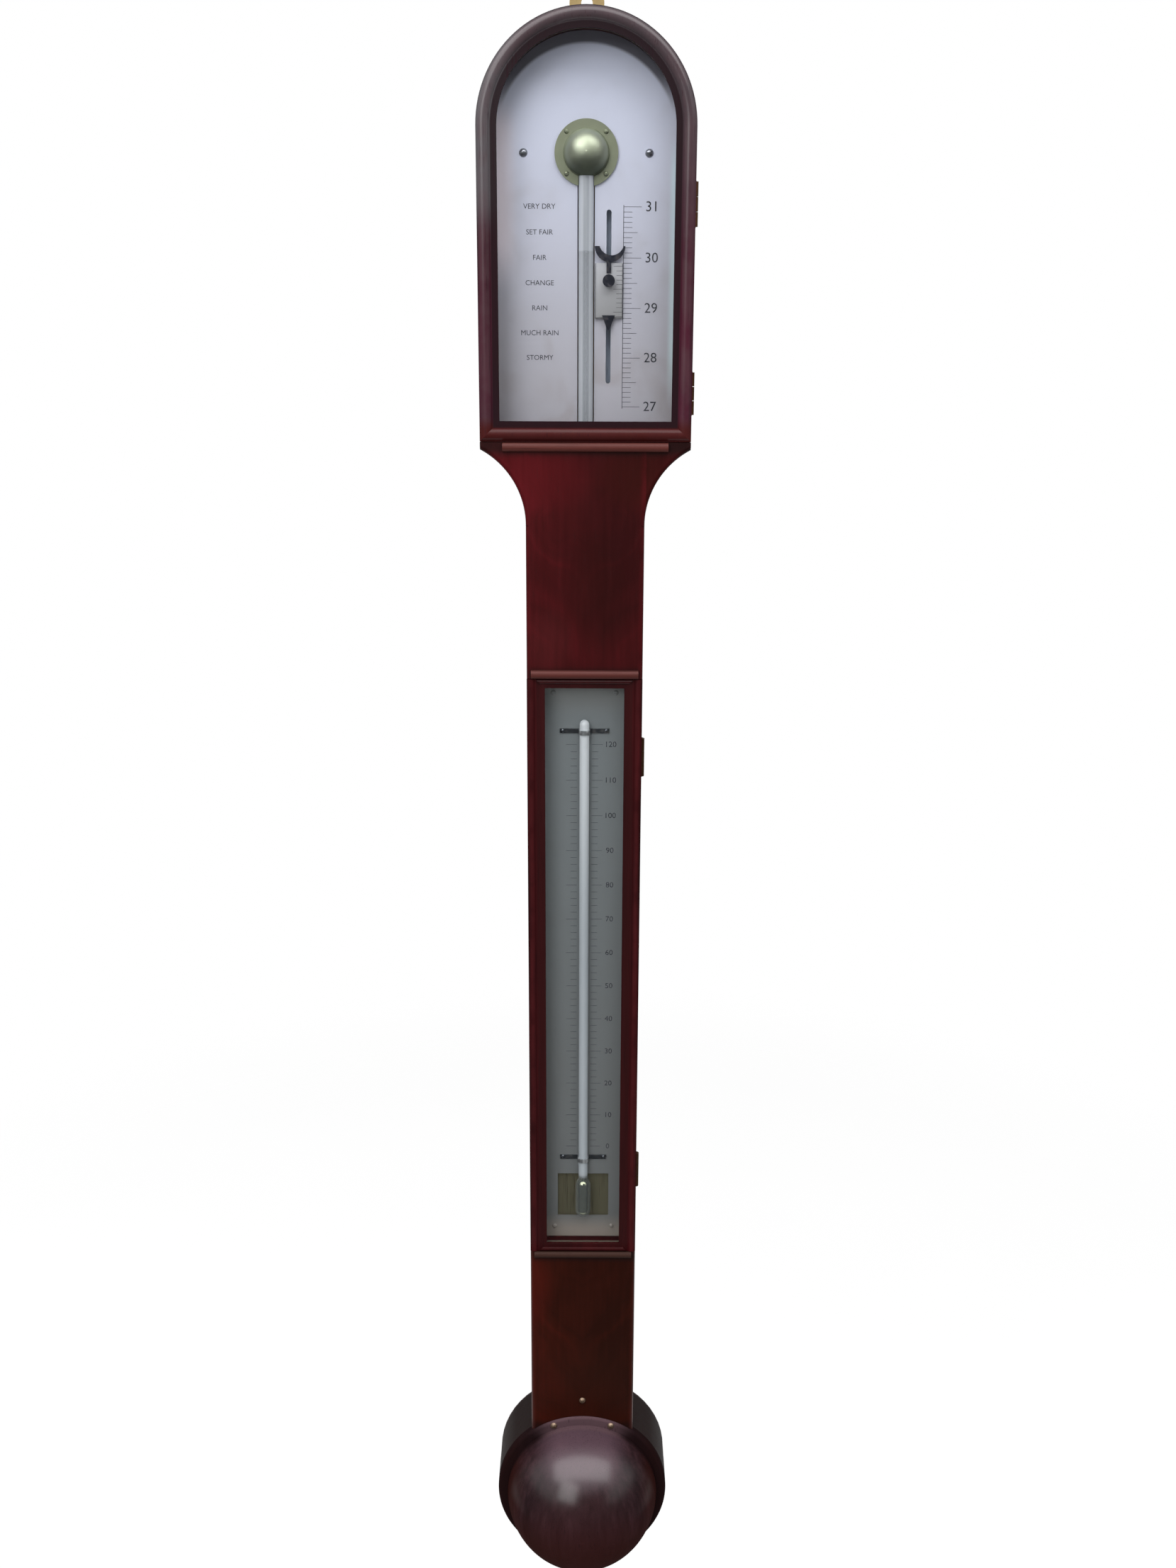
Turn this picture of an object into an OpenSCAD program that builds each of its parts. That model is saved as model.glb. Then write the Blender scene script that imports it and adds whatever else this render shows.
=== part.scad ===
// Stick barometer with an arched glazed hood, a thermometer in the trunk and a domed cistern cover.
// Millimetres. X to the right, Y toward the wall, Z up.
// The origin is the centre of the hanging eye on the wall plane.
// A depth is measured from the wall plane toward the viewer.

/* [Case] */
// Width of the hood
hood_w = 112; // [108:1:118]
// Height of the hood from its lower corners to the top of the arch
hood_h = 216; // [208:1:226]
// Width of the trunk
trunk_w = 64; // [62:1:68]
// Depth of the trunk from the wall to its front face
trunk_d = 40; // [40:0.5:44]
// Thickness of the backboard
backboard_t = 18; // [17.5:0.5:18.5]
// Depth of the plane that both doors close on
seat_d = 28; // [27.8:0.1:28.6]
// Thickness of the front panels
panel_t = 4; // [3:0.5:5]
// Radius of the rounded long edges of the front panels
edge_r = 2.4; // [1.5:0.1:2.8]
// Radius of the hollow curve from hood to trunk
cove_r = 45; // [40:1:60]
// Height of the neck from the hood corners to the thermometer door
neck_h = 123.7; // [115:0.1:135]
// Height of the neck above the hood corners
neck_lip = 4; // [3:0.5:5]
// Height of the thermometer door
thermo_door_h = 356.5; // [340:0.5:366]
// Radius of the upper cross beads
bead_r = 2.5; // [2:0.1:3]
// Radius of the lower cross bead
lower_bead_r = 2; // [1.6:0.1:2.5]
// Half length of the bead under the hood door
neck_bead_half = 44; // [36:1:48]

/* [Head] */
// Width of the rim round the register
rim_w = 8; // [7.6:0.1:8.6]
// Height of the bottom bar of the rim
rim_foot = 6; // [5:0.5:7]
// Thickness of the register plate
plate_t = 1.6; // [1.4:0.1:1.8]
// Height of the lowest scale mark above the hood corners
scale_rise = 21.8; // [18:0.2:26]
// Lowest scale mark in inches
scale_low = 27; // [27:1:27]
// Reading of the barometer in inches
reading = 30.15; // [29.6:0.05:30.4]
// Depth of the tube boss below the crown of the arch
boss_drop = 66.4; // [62:0.2:68]
// Radius of the flange of the tube boss
boss_flange_r = 16.5; // [15:0.5:18]
// Thickness of the flange of the tube boss
boss_flange_t = 1.4; // [1.2:0.1:1.8]
// Radius of the dome of the tube boss
boss_dome_r = 12; // [10:0.5:12.5]
// Distance of the register screws from the middle
register_screw_x = 32.7; // [28:0.1:38]

/* [Vernier] */
// Distance of the vernier slot from the middle
slot_x = 12; // [11.8:0.1:13]
// Width of the vernier slot
slot_w = 2.6; // [2.4:0.1:3]
// Distance from the lowest scale mark to the foot of the slot
slot_rise = 12.2; // [8:0.2:14]
// Length of the vernier slot
slot_len = 88; // [86:1:92]
// Width of the vernier plate
vernier_w = 14.6; // [13:0.1:14.6]
// Height of the vernier plate
vernier_h = 28; // [24:1:30]
// Thickness of the vernier plate
vernier_t = 1.4; // [1.2:0.1:1.8]
// Radius of the vernier knob
vernier_knob_r = 3.2; // [2.6:0.1:3.6]
// Projection of the vernier knob
vernier_knob_h = 4.6; // [4:0.1:5.5]

/* [Doors] */
// Width of the hood door frame
hood_frame_w = 10.5; // [10.3:0.1:11.5]
// Radius of the half round bead on the hood door
hood_bead_r = 3.6; // [3:0.1:3.8]
// Width of the thermometer door stiles
thermo_frame_w = 10; // [10:0.1:11]
// Radius of the half round bead on the thermometer door stiles
thermo_bead_r = 2.4; // [2:0.1:2.8]
// Width of the thermometer door rails
thermo_rail_w = 5; // [5:0.1:6]
// Radius of the half round bead on the thermometer door rails
thermo_rail_bead_r = 1.3; // [1.1:0.1:1.6]
// Gap between a door and the case
door_gap = 0.3; // [0.3:0.05:0.4]
// Thickness of the glass
glass_t = 1.9; // [1.7:0.1:2]
// Width of the glass rebate
rebate_w = 2.6; // [2.2:0.1:2.8]

/* [Hinges] */
// Height of a hinge
hinge_h = 22; // [20:1:26]
// Width of a hinge leaf
leaf_w = 6.4; // [6:0.1:6.6]
// Thickness of a hinge leaf
leaf_t = 1; // [0.9:0.1:1.2]
// Radius of a hinge barrel
barrel_r = 1.9; // [1.7:0.1:2]
// Radius of a hinge pin
pin_r = 0.9; // [0.8:0.05:1]

/* [Barometer tube and cistern] */
// Outer radius of the barometer tube
tube_r = 4; // [3.6:0.1:4]
// Radius of the tube bore
bore_r = 1.8; // [1.5:0.1:2]
// Outer radius of the cistern body
cistern_r = 14.5; // [13.5:0.1:14.6]
// Wall of the cistern body
cistern_wall = 3; // [2.5:0.1:3.5]
// Depth of the mercury level below the middle of the drum
level_drop = 12; // [10:0.5:14]
// Radius of the portable screw
screw_r = 4; // [3.5:0.1:4.2]
// Radius of the knob of the portable screw
screw_knob_r = 8; // [7:0.5:10]
// Height of the knob of the portable screw
screw_knob_h = 15; // [12:0.5:18]
// Upward travel of the portable screw
screw_travel = 9; // [8:0.5:9]

/* [Cistern cover] */
// Radius of the round end of the trunk
drum_r = 53.5; // [52:0.5:58]
// Radius of the dome of the cover
dome_r = 47.5; // [46:0.5:47.5]
// Thickness of the cover flange
flange_t = 5; // [4.5:0.5:6]
// Wall of the dome
dome_wall = 4.5; // [3.5:0.5:5.5]

/* [Thermometer] */
// Half width of the thermometer plate
thermo_plate_half = 23; // [22:0.1:23]
// Thickness of the thermometer plate
thermo_plate_t = 1.2; // [1:0.1:1.4]
// Radius of the thermometer tube
thermo_tube_r = 2.75; // [2.4:0.05:2.9]
// Radius of the thermometer bulb
bulb_r = 4.5; // [4:0.1:4.6]
// Length of the thermometer bulb
bulb_len = 26; // [22:0.5:28]
// Width of the cut-out round the bulb
bulb_gap_w = 31; // [26:0.5:36]
// Width of a thermometer strap
strap_w = 28; // [24:0.5:32]

/* [Hidden] */

$fn = 96;
inch = 25.4;
// Clearance of a fixed piece in its seat
seat = 0.1;
// Radial clearance of a running or screwed fit
fit = 0.05;

// Heights
eye_rise = 8;
case_top_z = -eye_rise;
arch_z = case_top_z - hood_w / 2;
hood_z = case_top_z - hood_h;
neck_top_z = hood_z + neck_lip;
cove_w = (hood_w - trunk_w) / 2;
cove_h = sqrt(2 * cove_r * cove_w - cove_w * cove_w);
cove_z = hood_z - cove_h;
neck_foot_z = hood_z - neck_h;
thermo_top_z = neck_foot_z - door_gap;
thermo_foot_z = thermo_top_z - thermo_door_h;
foot_top_z = thermo_foot_z - door_gap;
low_mark_z = hood_z + scale_rise;
level_z = low_mark_z - scale_low * inch;
reading_z = level_z + reading * inch;
drum_z = level_z + level_drop;
boss_z = case_top_z - boss_drop;

// Depths
block_d = trunk_d - panel_t;
plate_front_d = backboard_t + plate_t;
tube_d = plate_front_d;
door_back_d = seat_d + door_gap;
lip_back_d = trunk_d - 2.2;
lip_front_d = trunk_d - 0.4;
glass_front_d = lip_back_d - seat;
glass_back_d = glass_front_d - glass_t;
hinge_d = seat_d + door_gap / 2;
flange_front_d = block_d + flange_t;

// Tube channel and cistern well
channel_half = tube_r + 0.8;
tube_top_z = boss_z + 4;
tube_foot_z = level_z - 12;
binding_r = 0.6;
leather_t = 1.2;
bag_r = cistern_r + leather_t;
well_r = bag_r + binding_r + 0.7;
well_top_z = level_z + 20;
well_foot_z = level_z - 33;
cover_half = channel_half + 6.2;
cover_well_half = well_r + 4.5;
cover_t = 2.3;
cover_top_z = tube_top_z + 10;
cover_well_top_z = well_top_z + 3;
cover_well_foot_z = well_foot_z - 3;
bush_r = screw_r + 2.9;
bush_flange_r = 11;
bush_flange_t = 2.5;
bush_seat_z = drum_z - sqrt(drum_r * drum_r - bush_flange_r * bush_flange_r) + 0.4;

// Puts a flat outline drawn in X and Z between two depths
module slab(d0, d1) {
    translate([0, -d0, 0]) rotate([90, 0, 0]) linear_extrude(d1 - d0) children();
}

// Puts a section drawn in X and depth between two heights
module post(z0, z1) {
    translate([0, 0, z0]) linear_extrude(z1 - z0) mirror([0, 1]) children();
}

// Turns a section drawn in radius and depth about a line that leaves the wall
module turned(z) {
    translate([0, 0, z]) rotate([90, 0, 0]) rotate_extrude() children();
}

module rod_z(x, d, r, z0, z1) {
    translate([x, -d, z0]) cylinder(r = r, h = z1 - z0);
}

module box(x0, x1, d0, d1, z0, z1) {
    translate([x0, -d1, z0]) cube([x1 - x0, d1 - d0, z1 - z0]);
}

// Stands a piece drawn along Z on a front facing surface
module on_front(x, d, z) {
    translate([x, -d, z]) rotate([90, 0, 0]) children();
}

// Stands a piece drawn along Z on a surface that faces the wall
module on_back(x, d, z) {
    translate([x, -d, z]) rotate([-90, 0, 0]) children();
}

// Stands a piece drawn along Z on a surface that faces down
module on_foot(x, d, z) {
    translate([x, -d, z]) rotate([180, 0, 0]) children();
}

// Flat headed slotted screw, its head flush with the surface
module flush_screw(head_r, head_h, shank_r, len) {
    difference() {
        union() {
            translate([0, 0, -head_h]) cylinder(r = head_r, h = head_h);
            translate([0, 0, -len]) cylinder(r = shank_r, h = len - head_h / 2);
        }
        translate([-head_r, -0.25, -head_h * 0.5]) cube([2 * head_r, 0.5, head_h]);
    }
}

module flush_hole(head_r, head_h, shank_r, len) {
    translate([0, 0, -head_h - fit]) cylinder(r = head_r + fit, h = head_h + fit + 1);
    translate([0, 0, -len - fit]) cylinder(r = shank_r + fit, h = len);
}

// Round headed slotted screw standing on the surface
module round_screw(head_r, head_h, shank_r, len) {
    ball_r = (head_r * head_r + head_h * head_h) / (2 * head_h);
    difference() {
        union() {
            intersection() {
                translate([0, 0, head_h - ball_r]) sphere(r = ball_r);
                cylinder(r = head_r, h = head_h);
            }
            translate([0, 0, -len]) cylinder(r = shank_r, h = len + head_h / 3);
        }
        translate([-head_r, -0.3, head_h * 0.55]) cube([2 * head_r, 0.6, head_h]);
    }
}

module round_hole(shank_r, len) {
    translate([0, 0, -len - fit]) cylinder(r = shank_r + fit, h = len + 4);
}

// Outlines
module hood_outline(inset, foot_z) {
    half = hood_w / 2 - inset;
    translate([0, arch_z]) circle(r = half);
    translate([-half, foot_z]) square([2 * half, arch_z - foot_z]);
}

module cove_outline() {
    difference() {
        translate([-hood_w / 2, cove_z]) square([hood_w, hood_z - cove_z]);
        for (s = [-1, 1])
            translate([s * (trunk_w / 2 + cove_r), cove_z]) circle(r = cove_r);
    }
}

module neck_outline() {
    translate([-hood_w / 2, hood_z]) square([hood_w, neck_lip]);
    cove_outline();
    translate([-trunk_w / 2, neck_foot_z]) square([trunk_w, neck_top_z - neck_foot_z]);
}

module trunk_outline(z0, z1) {
    translate([-trunk_w / 2, z0]) square([trunk_w, z1 - z0]);
}

// Channel for the tube, open to the back
module tube_channel(z0, z1) {
    post(z0, z1) {
        translate([0, tube_d]) circle(r = channel_half);
        translate([-channel_half, -1]) square([2 * channel_half, tube_d + 1]);
    }
}

// Room for the cistern, open to the back and into the dome
module cistern_well() {
    post(well_foot_z, well_top_z) {
        translate([0, tube_d]) circle(r = well_r);
        translate([-well_r, -1]) square([2 * well_r, tube_d + 1]);
    }
}

module bush_bed() {
    rod_z(0, tube_d, bush_flange_r + 0.5, drum_z - drum_r - 5, bush_seat_z);
    rod_z(0, tube_d, bush_r + seat, bush_seat_z - 1, well_foot_z + 1);
    bush_screw_set() round_hole(bush_screw_r, bush_screw_len);
}

// Screw places
register_screw_len = 9;
register_screw_r = 1;
module register_screw_set() {
    for (s = [-1, 1]) on_front(s * register_screw_x, plate_front_d, boss_z) children();
}

boss_screw_ring = boss_dome_r + (boss_flange_r - boss_dome_r) * 0.55;
boss_screw_len = 7;
boss_screw_r = 0.7;
module boss_screw_set() {
    for (a = [45, 135, 225, 315])
        on_front(
            boss_screw_ring * cos(a),
            plate_front_d + boss_flange_t,
            boss_z + boss_screw_ring * sin(a)
        ) children();
}

eye_plate_half = 9;
eye_plate_t = 2;
eye_plate_run = 44;
eye_plate_foot_z = case_top_z - eye_plate_run;
eye_screw_len = 13;
eye_screw_r = 1.5;
eye_screw_head_r = 3;
eye_screw_head_h = 1.2;
module eye_screw_set() {
    for (k = [0.3, 0.76]) on_back(0, 0, case_top_z + k * (eye_plate_foot_z - case_top_z)) children();
}

cover_screw_x = (channel_half + cover_half) / 2;
cover_well_screw_x = (well_r + cover_well_half) / 2;
cover_screw_len = 11;
cover_screw_r = 1;
cover_screw_head_r = 2;
cover_screw_head_h = 1;
module cover_screw_set() {
    run = cover_top_z - cover_well_top_z;
    for (k = [0.02, 0.34, 0.66, 0.96])
        for (s = [-1, 1])
            on_back(s * cover_screw_x, 0, cover_top_z - k * run) children();
    for (s = [-1, 1]) on_back(s * cover_well_screw_x, 0, level_z - 8) children();
}

bush_screw_len = 6;
bush_screw_r = 0.8;
bush_screw_head_r = 1.4;
bush_screw_ring = (bush_r + bush_flange_r) / 2;
module bush_screw_set() {
    for (s = [-1, 1]) on_foot(s * bush_screw_ring, tube_d, bush_seat_z - bush_flange_t) children();
}

flange_screw_ring = (dome_r + drum_r) / 2 - 0.2;
flange_screw_x = 18;
flange_screw_len = 14;
flange_screw_r = 1.1;
flange_screw_head_r = 2.1;
module flange_screw_set() {
    rise = sqrt(flange_screw_ring * flange_screw_ring - flange_screw_x * flange_screw_x);
    for (s = [-1, 1])
        for (t = [-1, 1])
            on_front(s * flange_screw_x, flange_front_d, drum_z + t * rise) children();
}

stud_z = drum_z + drum_r + 11.5;
stud_r = 2;
stud_len = 9;
stud_pin_r = 0.9;

// Hinges: each has its middle height and the side it stands on
hood_hinge_drop = 36;
hood_hinge_rise = 25;
thermo_hinge_drop = 47;
thermo_hinge_rise = 49.5;
hood_hinge_z = [arch_z - hood_hinge_drop, neck_top_z + hood_hinge_rise];
thermo_hinge_z = [thermo_top_z - thermo_hinge_drop, thermo_foot_z + thermo_hinge_rise];
hinge_screw_rise = hinge_h * 0.32;
hinge_screw_inset = 4.2;
hinge_screw_r = 0.8;
hinge_screw_head_r = 1.5;
hinge_screw_head_h = 0.5;
case_hinge_screw_len = 8.5;
door_hinge_screw_len = 6.5;
knuckle_gap = 0.3;
pin_over = 0.4;

module at_hinges(side_x, heights) {
    for (z = heights) translate([side_x, -hinge_d, z]) children();
}

module at_all_hinges() {
    at_hinges(hood_w / 2, hood_hinge_z) children();
    at_hinges(trunk_w / 2, thermo_hinge_z) children();
}

// One leaf in the hinge's own place: the pin line is the Z axis, the leaf runs to -X
// The case leaf lies toward the wall and has the end knuckles, the door leaf has the middle one
module hinge_leaf(case_side) {
    end_z = hinge_h / 6 + knuckle_gap / 2;
    end_h = hinge_h / 2 - end_z;
    middle_half = hinge_h / 6 - knuckle_gap / 2;
    difference() {
        union() {
            difference() {
                translate([-leaf_w, case_side ? door_gap / 2 : -door_gap / 2 - leaf_t, -hinge_h / 2])
                    cube([leaf_w, leaf_t, hinge_h]);
                if (case_side) {
                    hinge_room(-end_z - knuckle_gap, end_z + knuckle_gap);
                } else {
                    hinge_room(middle_half - knuckle_gap, hinge_h);
                    hinge_room(-hinge_h, knuckle_gap - middle_half);
                }
            }
            if (case_side) {
                translate([0, 0, end_z]) cylinder(r = barrel_r, h = end_h);
                translate([0, 0, -end_z - end_h]) cylinder(r = barrel_r, h = end_h);
            } else {
                translate([0, 0, -middle_half]) cylinder(r = barrel_r, h = 2 * middle_half);
            }
        }
        translate([0, 0, -hinge_h]) cylinder(r = pin_r + fit, h = 2 * hinge_h);
        hinge_screw_set(case_side)
            flush_hole(hinge_screw_head_r, hinge_screw_head_h, hinge_screw_r, case_hinge_screw_len);
    }
}

// Room round the pin line that the other leaf's knuckles turn in
module hinge_room(z0, z1) {
    translate([0, 0, z0]) cylinder(r = barrel_r + 0.25, h = z1 - z0);
}

module hinge_screw_set(case_side) {
    for (s = [-1, 1])
        translate([-hinge_screw_inset, case_side ? door_gap / 2 : -door_gap / 2, s * hinge_screw_rise])
            rotate([case_side ? 90 : -90, 0, 0]) children();
}

// Wood taken out for a leaf and its barrel
module hinge_bed(case_side) {
    y0 = case_side ? door_gap / 2 - 1 : -door_gap / 2 - leaf_t - fit;
    y_run = leaf_t + fit + 1;
    half = hinge_h / 2 + seat;
    translate([-leaf_w - seat, y0, -half]) cube([leaf_w + 2 * seat + barrel_r, y_run, 2 * half]);
    translate([0, 0, -half - 1]) cylinder(r = barrel_r + 0.25, h = 2 * half + 2);
    hinge_screw_set(case_side)
        flush_hole(
            hinge_screw_head_r,
            hinge_screw_head_h,
            hinge_screw_r,
            case_side ? case_hinge_screw_len : door_hinge_screw_len
        );
}

// Case
module backboard() {
    color("SaddleBrown")
    difference() {
        slab(0, backboard_t) {
            hood_outline(0, hood_z);
            cove_outline();
            trunk_outline(drum_z, cove_z);
            translate([0, drum_z]) circle(r = drum_r);
        }
        tube_channel(well_foot_z + 1, tube_top_z + 3);
        cistern_well();
        bush_bed();
        slab(-1, cover_t) back_cover_outline(seat);
        slab(-1, eye_plate_t) eye_plate_outline(seat, 0);
        box(
            slot_x - guide_half - 0.6,
            slot_x + guide_half + 0.6,
            guide_room_d,
            backboard_t + 1,
            slot_foot_z - guide_over,
            slot_top_z + guide_over
        );
        register_screw_set() round_hole(register_screw_r, register_screw_len);
        boss_screw_set() round_hole(boss_screw_r, boss_screw_len);
        eye_screw_set() flush_hole(eye_screw_head_r, eye_screw_head_h, eye_screw_r, eye_screw_len);
        cover_screw_set() round_hole(cover_screw_r, cover_screw_len);
    }
}

module head_rim() {
    color("SaddleBrown")
    difference() {
        slab(backboard_t, seat_d)
            difference() {
                hood_outline(0, neck_top_z);
                hood_outline(rim_w, neck_top_z + rim_foot);
            }
        tube_channel(hood_z, neck_top_z + rim_foot + 1);
        at_hinges(hood_w / 2, hood_hinge_z) hinge_bed(true);
    }
}

module neck_block() {
    color("SaddleBrown")
    difference() {
        slab(backboard_t, block_d) neck_outline();
        tube_channel(neck_foot_z - 1, neck_top_z + 1);
    }
}

module thermometer_bed() {
    color("SaddleBrown")
    difference() {
        slab(backboard_t, seat_d) trunk_outline(foot_top_z, neck_foot_z);
        tube_channel(foot_top_z - 1, neck_foot_z + 1);
        slab(thermo_plate_back_d, seat_d + 1) thermo_plate_outline(seat);
        slab(bulb_room_d, seat_d + 1) bulb_outline();
        at_hinges(trunk_w / 2, thermo_hinge_z) hinge_bed(true);
        thermo_screw_set() round_hole(thermo_screw_r, thermo_screw_len);
        strap_pin_set() round_hole(strap_pin_r, strap_pin_len);
    }
}

module foot_block() {
    color("SaddleBrown")
    difference() {
        slab(backboard_t, block_d) {
            trunk_outline(drum_z, foot_top_z);
            translate([0, drum_z]) circle(r = drum_r);
        }
        tube_channel(well_foot_z + 1, foot_top_z + 1);
        cistern_well();
        bush_bed();
        flange_screw_set() round_hole(flange_screw_r, flange_screw_len);
        on_front(0, trunk_d, stud_z) round_hole(stud_pin_r, stud_len);
    }
}

// Corner taken off a front edge, drawn in distance from the edge and depth
module edge_cut() {
    difference() {
        translate([-1, trunk_d - edge_r]) square([1 + edge_r, edge_r + 1]);
        translate([edge_r, trunk_d - edge_r]) circle(r = edge_r);
    }
}

// Rounds the straight front edges of the trunk on both sides
module trunk_edge_cuts(z0, z1) {
    post(z0, z1) {
        translate([-trunk_w / 2, 0]) edge_cut();
        translate([trunk_w / 2, 0]) mirror([1, 0]) edge_cut();
    }
}

// Rounds the front edge that runs round the hollow curve of the neck
module cove_edge_cut() {
    translate([trunk_w / 2 + cove_r, 0, cove_z])
        rotate([90, 0, 0])
            rotate([0, 0, 90])
                rotate_extrude(angle = 90)
                    translate([cove_r, 0]) edge_cut();
}

module neck_panel() {
    color("Maroon")
    difference() {
        slab(block_d, trunk_d) neck_outline();
        trunk_edge_cuts(neck_foot_z - 1, cove_z);
        cove_edge_cut();
        mirror([1, 0, 0]) cove_edge_cut();
    }
}

module foot_panel() {
    color("Maroon")
    difference() {
        slab(block_d, trunk_d)
            difference() {
                trunk_outline(drum_z, foot_top_z);
                translate([0, drum_z]) circle(r = drum_r + seat);
            }
        trunk_edge_cuts(drum_z, foot_top_z + 1);
        on_front(0, trunk_d, stud_z) round_hole(stud_pin_r, stud_len);
    }
}

// Half round bead glued on the front
module half_bead(half, r, z) {
    intersection() {
        translate([-half, -trunk_d, z]) rotate([0, 90, 0]) cylinder(r = r, h = 2 * half);
        box(-half, half, trunk_d, trunk_d + r + 1, z - r - 1, z + r + 1);
    }
}

module neck_bead() {
    color("Sienna") half_bead(neck_bead_half, bead_r, neck_top_z - bead_r);
}

module upper_cross_bead() {
    color("Sienna") half_bead(trunk_w / 2 - edge_r, bead_r, neck_foot_z + bead_r);
}

module lower_cross_bead() {
    color("Sienna") half_bead(trunk_w / 2 - edge_r, lower_bead_r, foot_top_z - lower_bead_r);
}

module back_cover_outline(room) {
    translate([-cover_half - room, cover_well_top_z - 1])
        square([2 * (cover_half + room), cover_top_z - cover_well_top_z + 1 + room]);
    translate([-cover_well_half - room, cover_well_foot_z - room])
        square([2 * (cover_well_half + room), cover_well_top_z - cover_well_foot_z + 2 * room]);
}

module back_cover() {
    color("Peru")
    difference() {
        slab(0, cover_t) back_cover_outline(0);
        cover_screw_set() flush_hole(cover_screw_head_r, cover_screw_head_h, cover_screw_r, cover_screw_len);
    }
}

module back_cover_screws() {
    color("Goldenrod")
    cover_screw_set() flush_screw(cover_screw_head_r, cover_screw_head_h, cover_screw_r, cover_screw_len);
}

module eye_plate_outline(room, eye_r) {
    difference() {
        union() {
            circle(r = eye_plate_half + room);
            translate([-eye_plate_half - room, eye_plate_foot_z - room])
                square([2 * (eye_plate_half + room), room - eye_plate_foot_z]);
        }
        if (eye_r > 0)
            circle(r = eye_r);
    }
}

eye_r = 3;
module hanging_plate() {
    color("Goldenrod")
    difference() {
        slab(0, eye_plate_t) eye_plate_outline(0, eye_r);
        eye_screw_set() flush_hole(eye_screw_head_r, eye_screw_head_h, eye_screw_r, eye_screw_len);
    }
}

module hanging_plate_screws() {
    color("Goldenrod")
    eye_screw_set() flush_screw(eye_screw_head_r, eye_screw_head_h, eye_screw_r, eye_screw_len);
}

// Register
slot_foot_z = low_mark_z + slot_rise;
slot_top_z = slot_foot_z + slot_len;
module register_plate() {
    color("Silver")
    difference() {
        slab(backboard_t, plate_front_d)
            difference() {
                hood_outline(rim_w + seat, neck_top_z + rim_foot + seat);
                translate([-tube_r - 0.5, hood_z]) square([2 * tube_r + 1, boss_z - hood_z + 2]);
                translate([0, boss_z + 2]) circle(r = tube_r + 0.5);
                for (z = [slot_foot_z + slot_w / 2, slot_top_z - slot_w / 2])
                    translate([slot_x, z]) circle(r = slot_w / 2);
                translate([slot_x - slot_w / 2, slot_foot_z + slot_w / 2])
                    square([slot_w, slot_len - slot_w]);
            }
        register_screw_set() round_hole(register_screw_r, register_screw_len);
        boss_screw_set() round_hole(boss_screw_r, boss_screw_len);
    }
}

module register_screws() {
    color("Goldenrod") register_screw_set() round_screw(2.2, 1.4, register_screw_r, register_screw_len);
}

boss_dome_wall = 1.5;
module tube_boss() {
    color("Gold")
    difference() {
        turned(boss_z)
            difference() {
                union() {
                    translate([0, plate_front_d]) square([boss_flange_r, boss_flange_t]);
                    boss_dome(boss_dome_r);
                }
                boss_dome(boss_dome_r - boss_dome_wall);
            }
        post(boss_z - boss_flange_r - 1, boss_z) {
            translate([0, tube_d]) circle(r = tube_r + 0.3);
            translate([-tube_r - 0.3, 0]) square([2 * tube_r + 0.6, tube_d]);
        }
        boss_screw_set() round_hole(boss_screw_r, boss_screw_len);
    }
}

module boss_dome(r) {
    intersection() {
        translate([0, plate_front_d]) circle(r = r);
        translate([0, plate_front_d]) square([r + 1, r + 1]);
    }
}

module boss_screws() {
    color("DarkGoldenrod") boss_screw_set() round_screw(1.3, 0.8, boss_screw_r, boss_screw_len);
}

// Vernier
guide_half = 4;
guide_over = 4;
guide_room_d = backboard_t - 4.4;
guide_t = 1;
guide_half_h = 9;
vernier_back_d = plate_front_d + door_gap;
vernier_front_d = vernier_back_d + vernier_t;
vernier_z = reading_z - 20.4;
vernier_knob_z = reading_z - 15.5;
knob_pin_r = 1;
pointer_t = 1;
module vernier_plate() {
    color("Silver")
    difference() {
        slab(vernier_back_d, vernier_front_d)
            translate([slot_x - vernier_w / 2, vernier_z - vernier_h / 2]) square([vernier_w, vernier_h]);
        on_front(slot_x, vernier_front_d, vernier_knob_z) round_hole(knob_pin_r, vernier_t);
    }
}

// Curved finger whose thin horn points at the top of the mercury, and the pointed tail under the plate
finger_r = 8;
finger_hollow_r = 6.6;
tail_half = 3.4;
tail_h = 6;
module vernier_pointer() {
    plate_foot_z = vernier_z - vernier_h / 2;
    color("DarkSlateGray")
    slab(vernier_front_d, vernier_front_d + pointer_t) {
        intersection() {
            difference() {
                translate([slot_x + 0.6, reading_z + 2]) circle(r = finger_r);
                translate([slot_x + 1.4, reading_z + 4]) circle(r = finger_hollow_r);
            }
            translate([tube_r + 0.5, reading_z - 9]) square([18, 11]);
        }
        translate([slot_x - 1.2, vernier_z + vernier_h / 2 - 5]) square([2.4, 8]);
        polygon([
            [slot_x - tail_half, plate_foot_z + 1.6],
            [slot_x + tail_half, plate_foot_z + 1.6],
            [slot_x + 0.5, plate_foot_z - tail_h],
            [slot_x - 0.5, plate_foot_z - tail_h]
        ]);
    }
}

module vernier_knob() {
    color("DarkSlateGray")
    on_front(slot_x, vernier_front_d, vernier_knob_z) {
        translate([0, 0, -vernier_t - 0.6]) cylinder(r = knob_pin_r, h = vernier_t + 1.6);
        cylinder(r = vernier_knob_r * 0.6, h = vernier_knob_h * 0.4);
        translate([0, 0, vernier_knob_h * 0.35]) cylinder(r = vernier_knob_r, h = vernier_knob_h * 0.65);
    }
}

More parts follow.
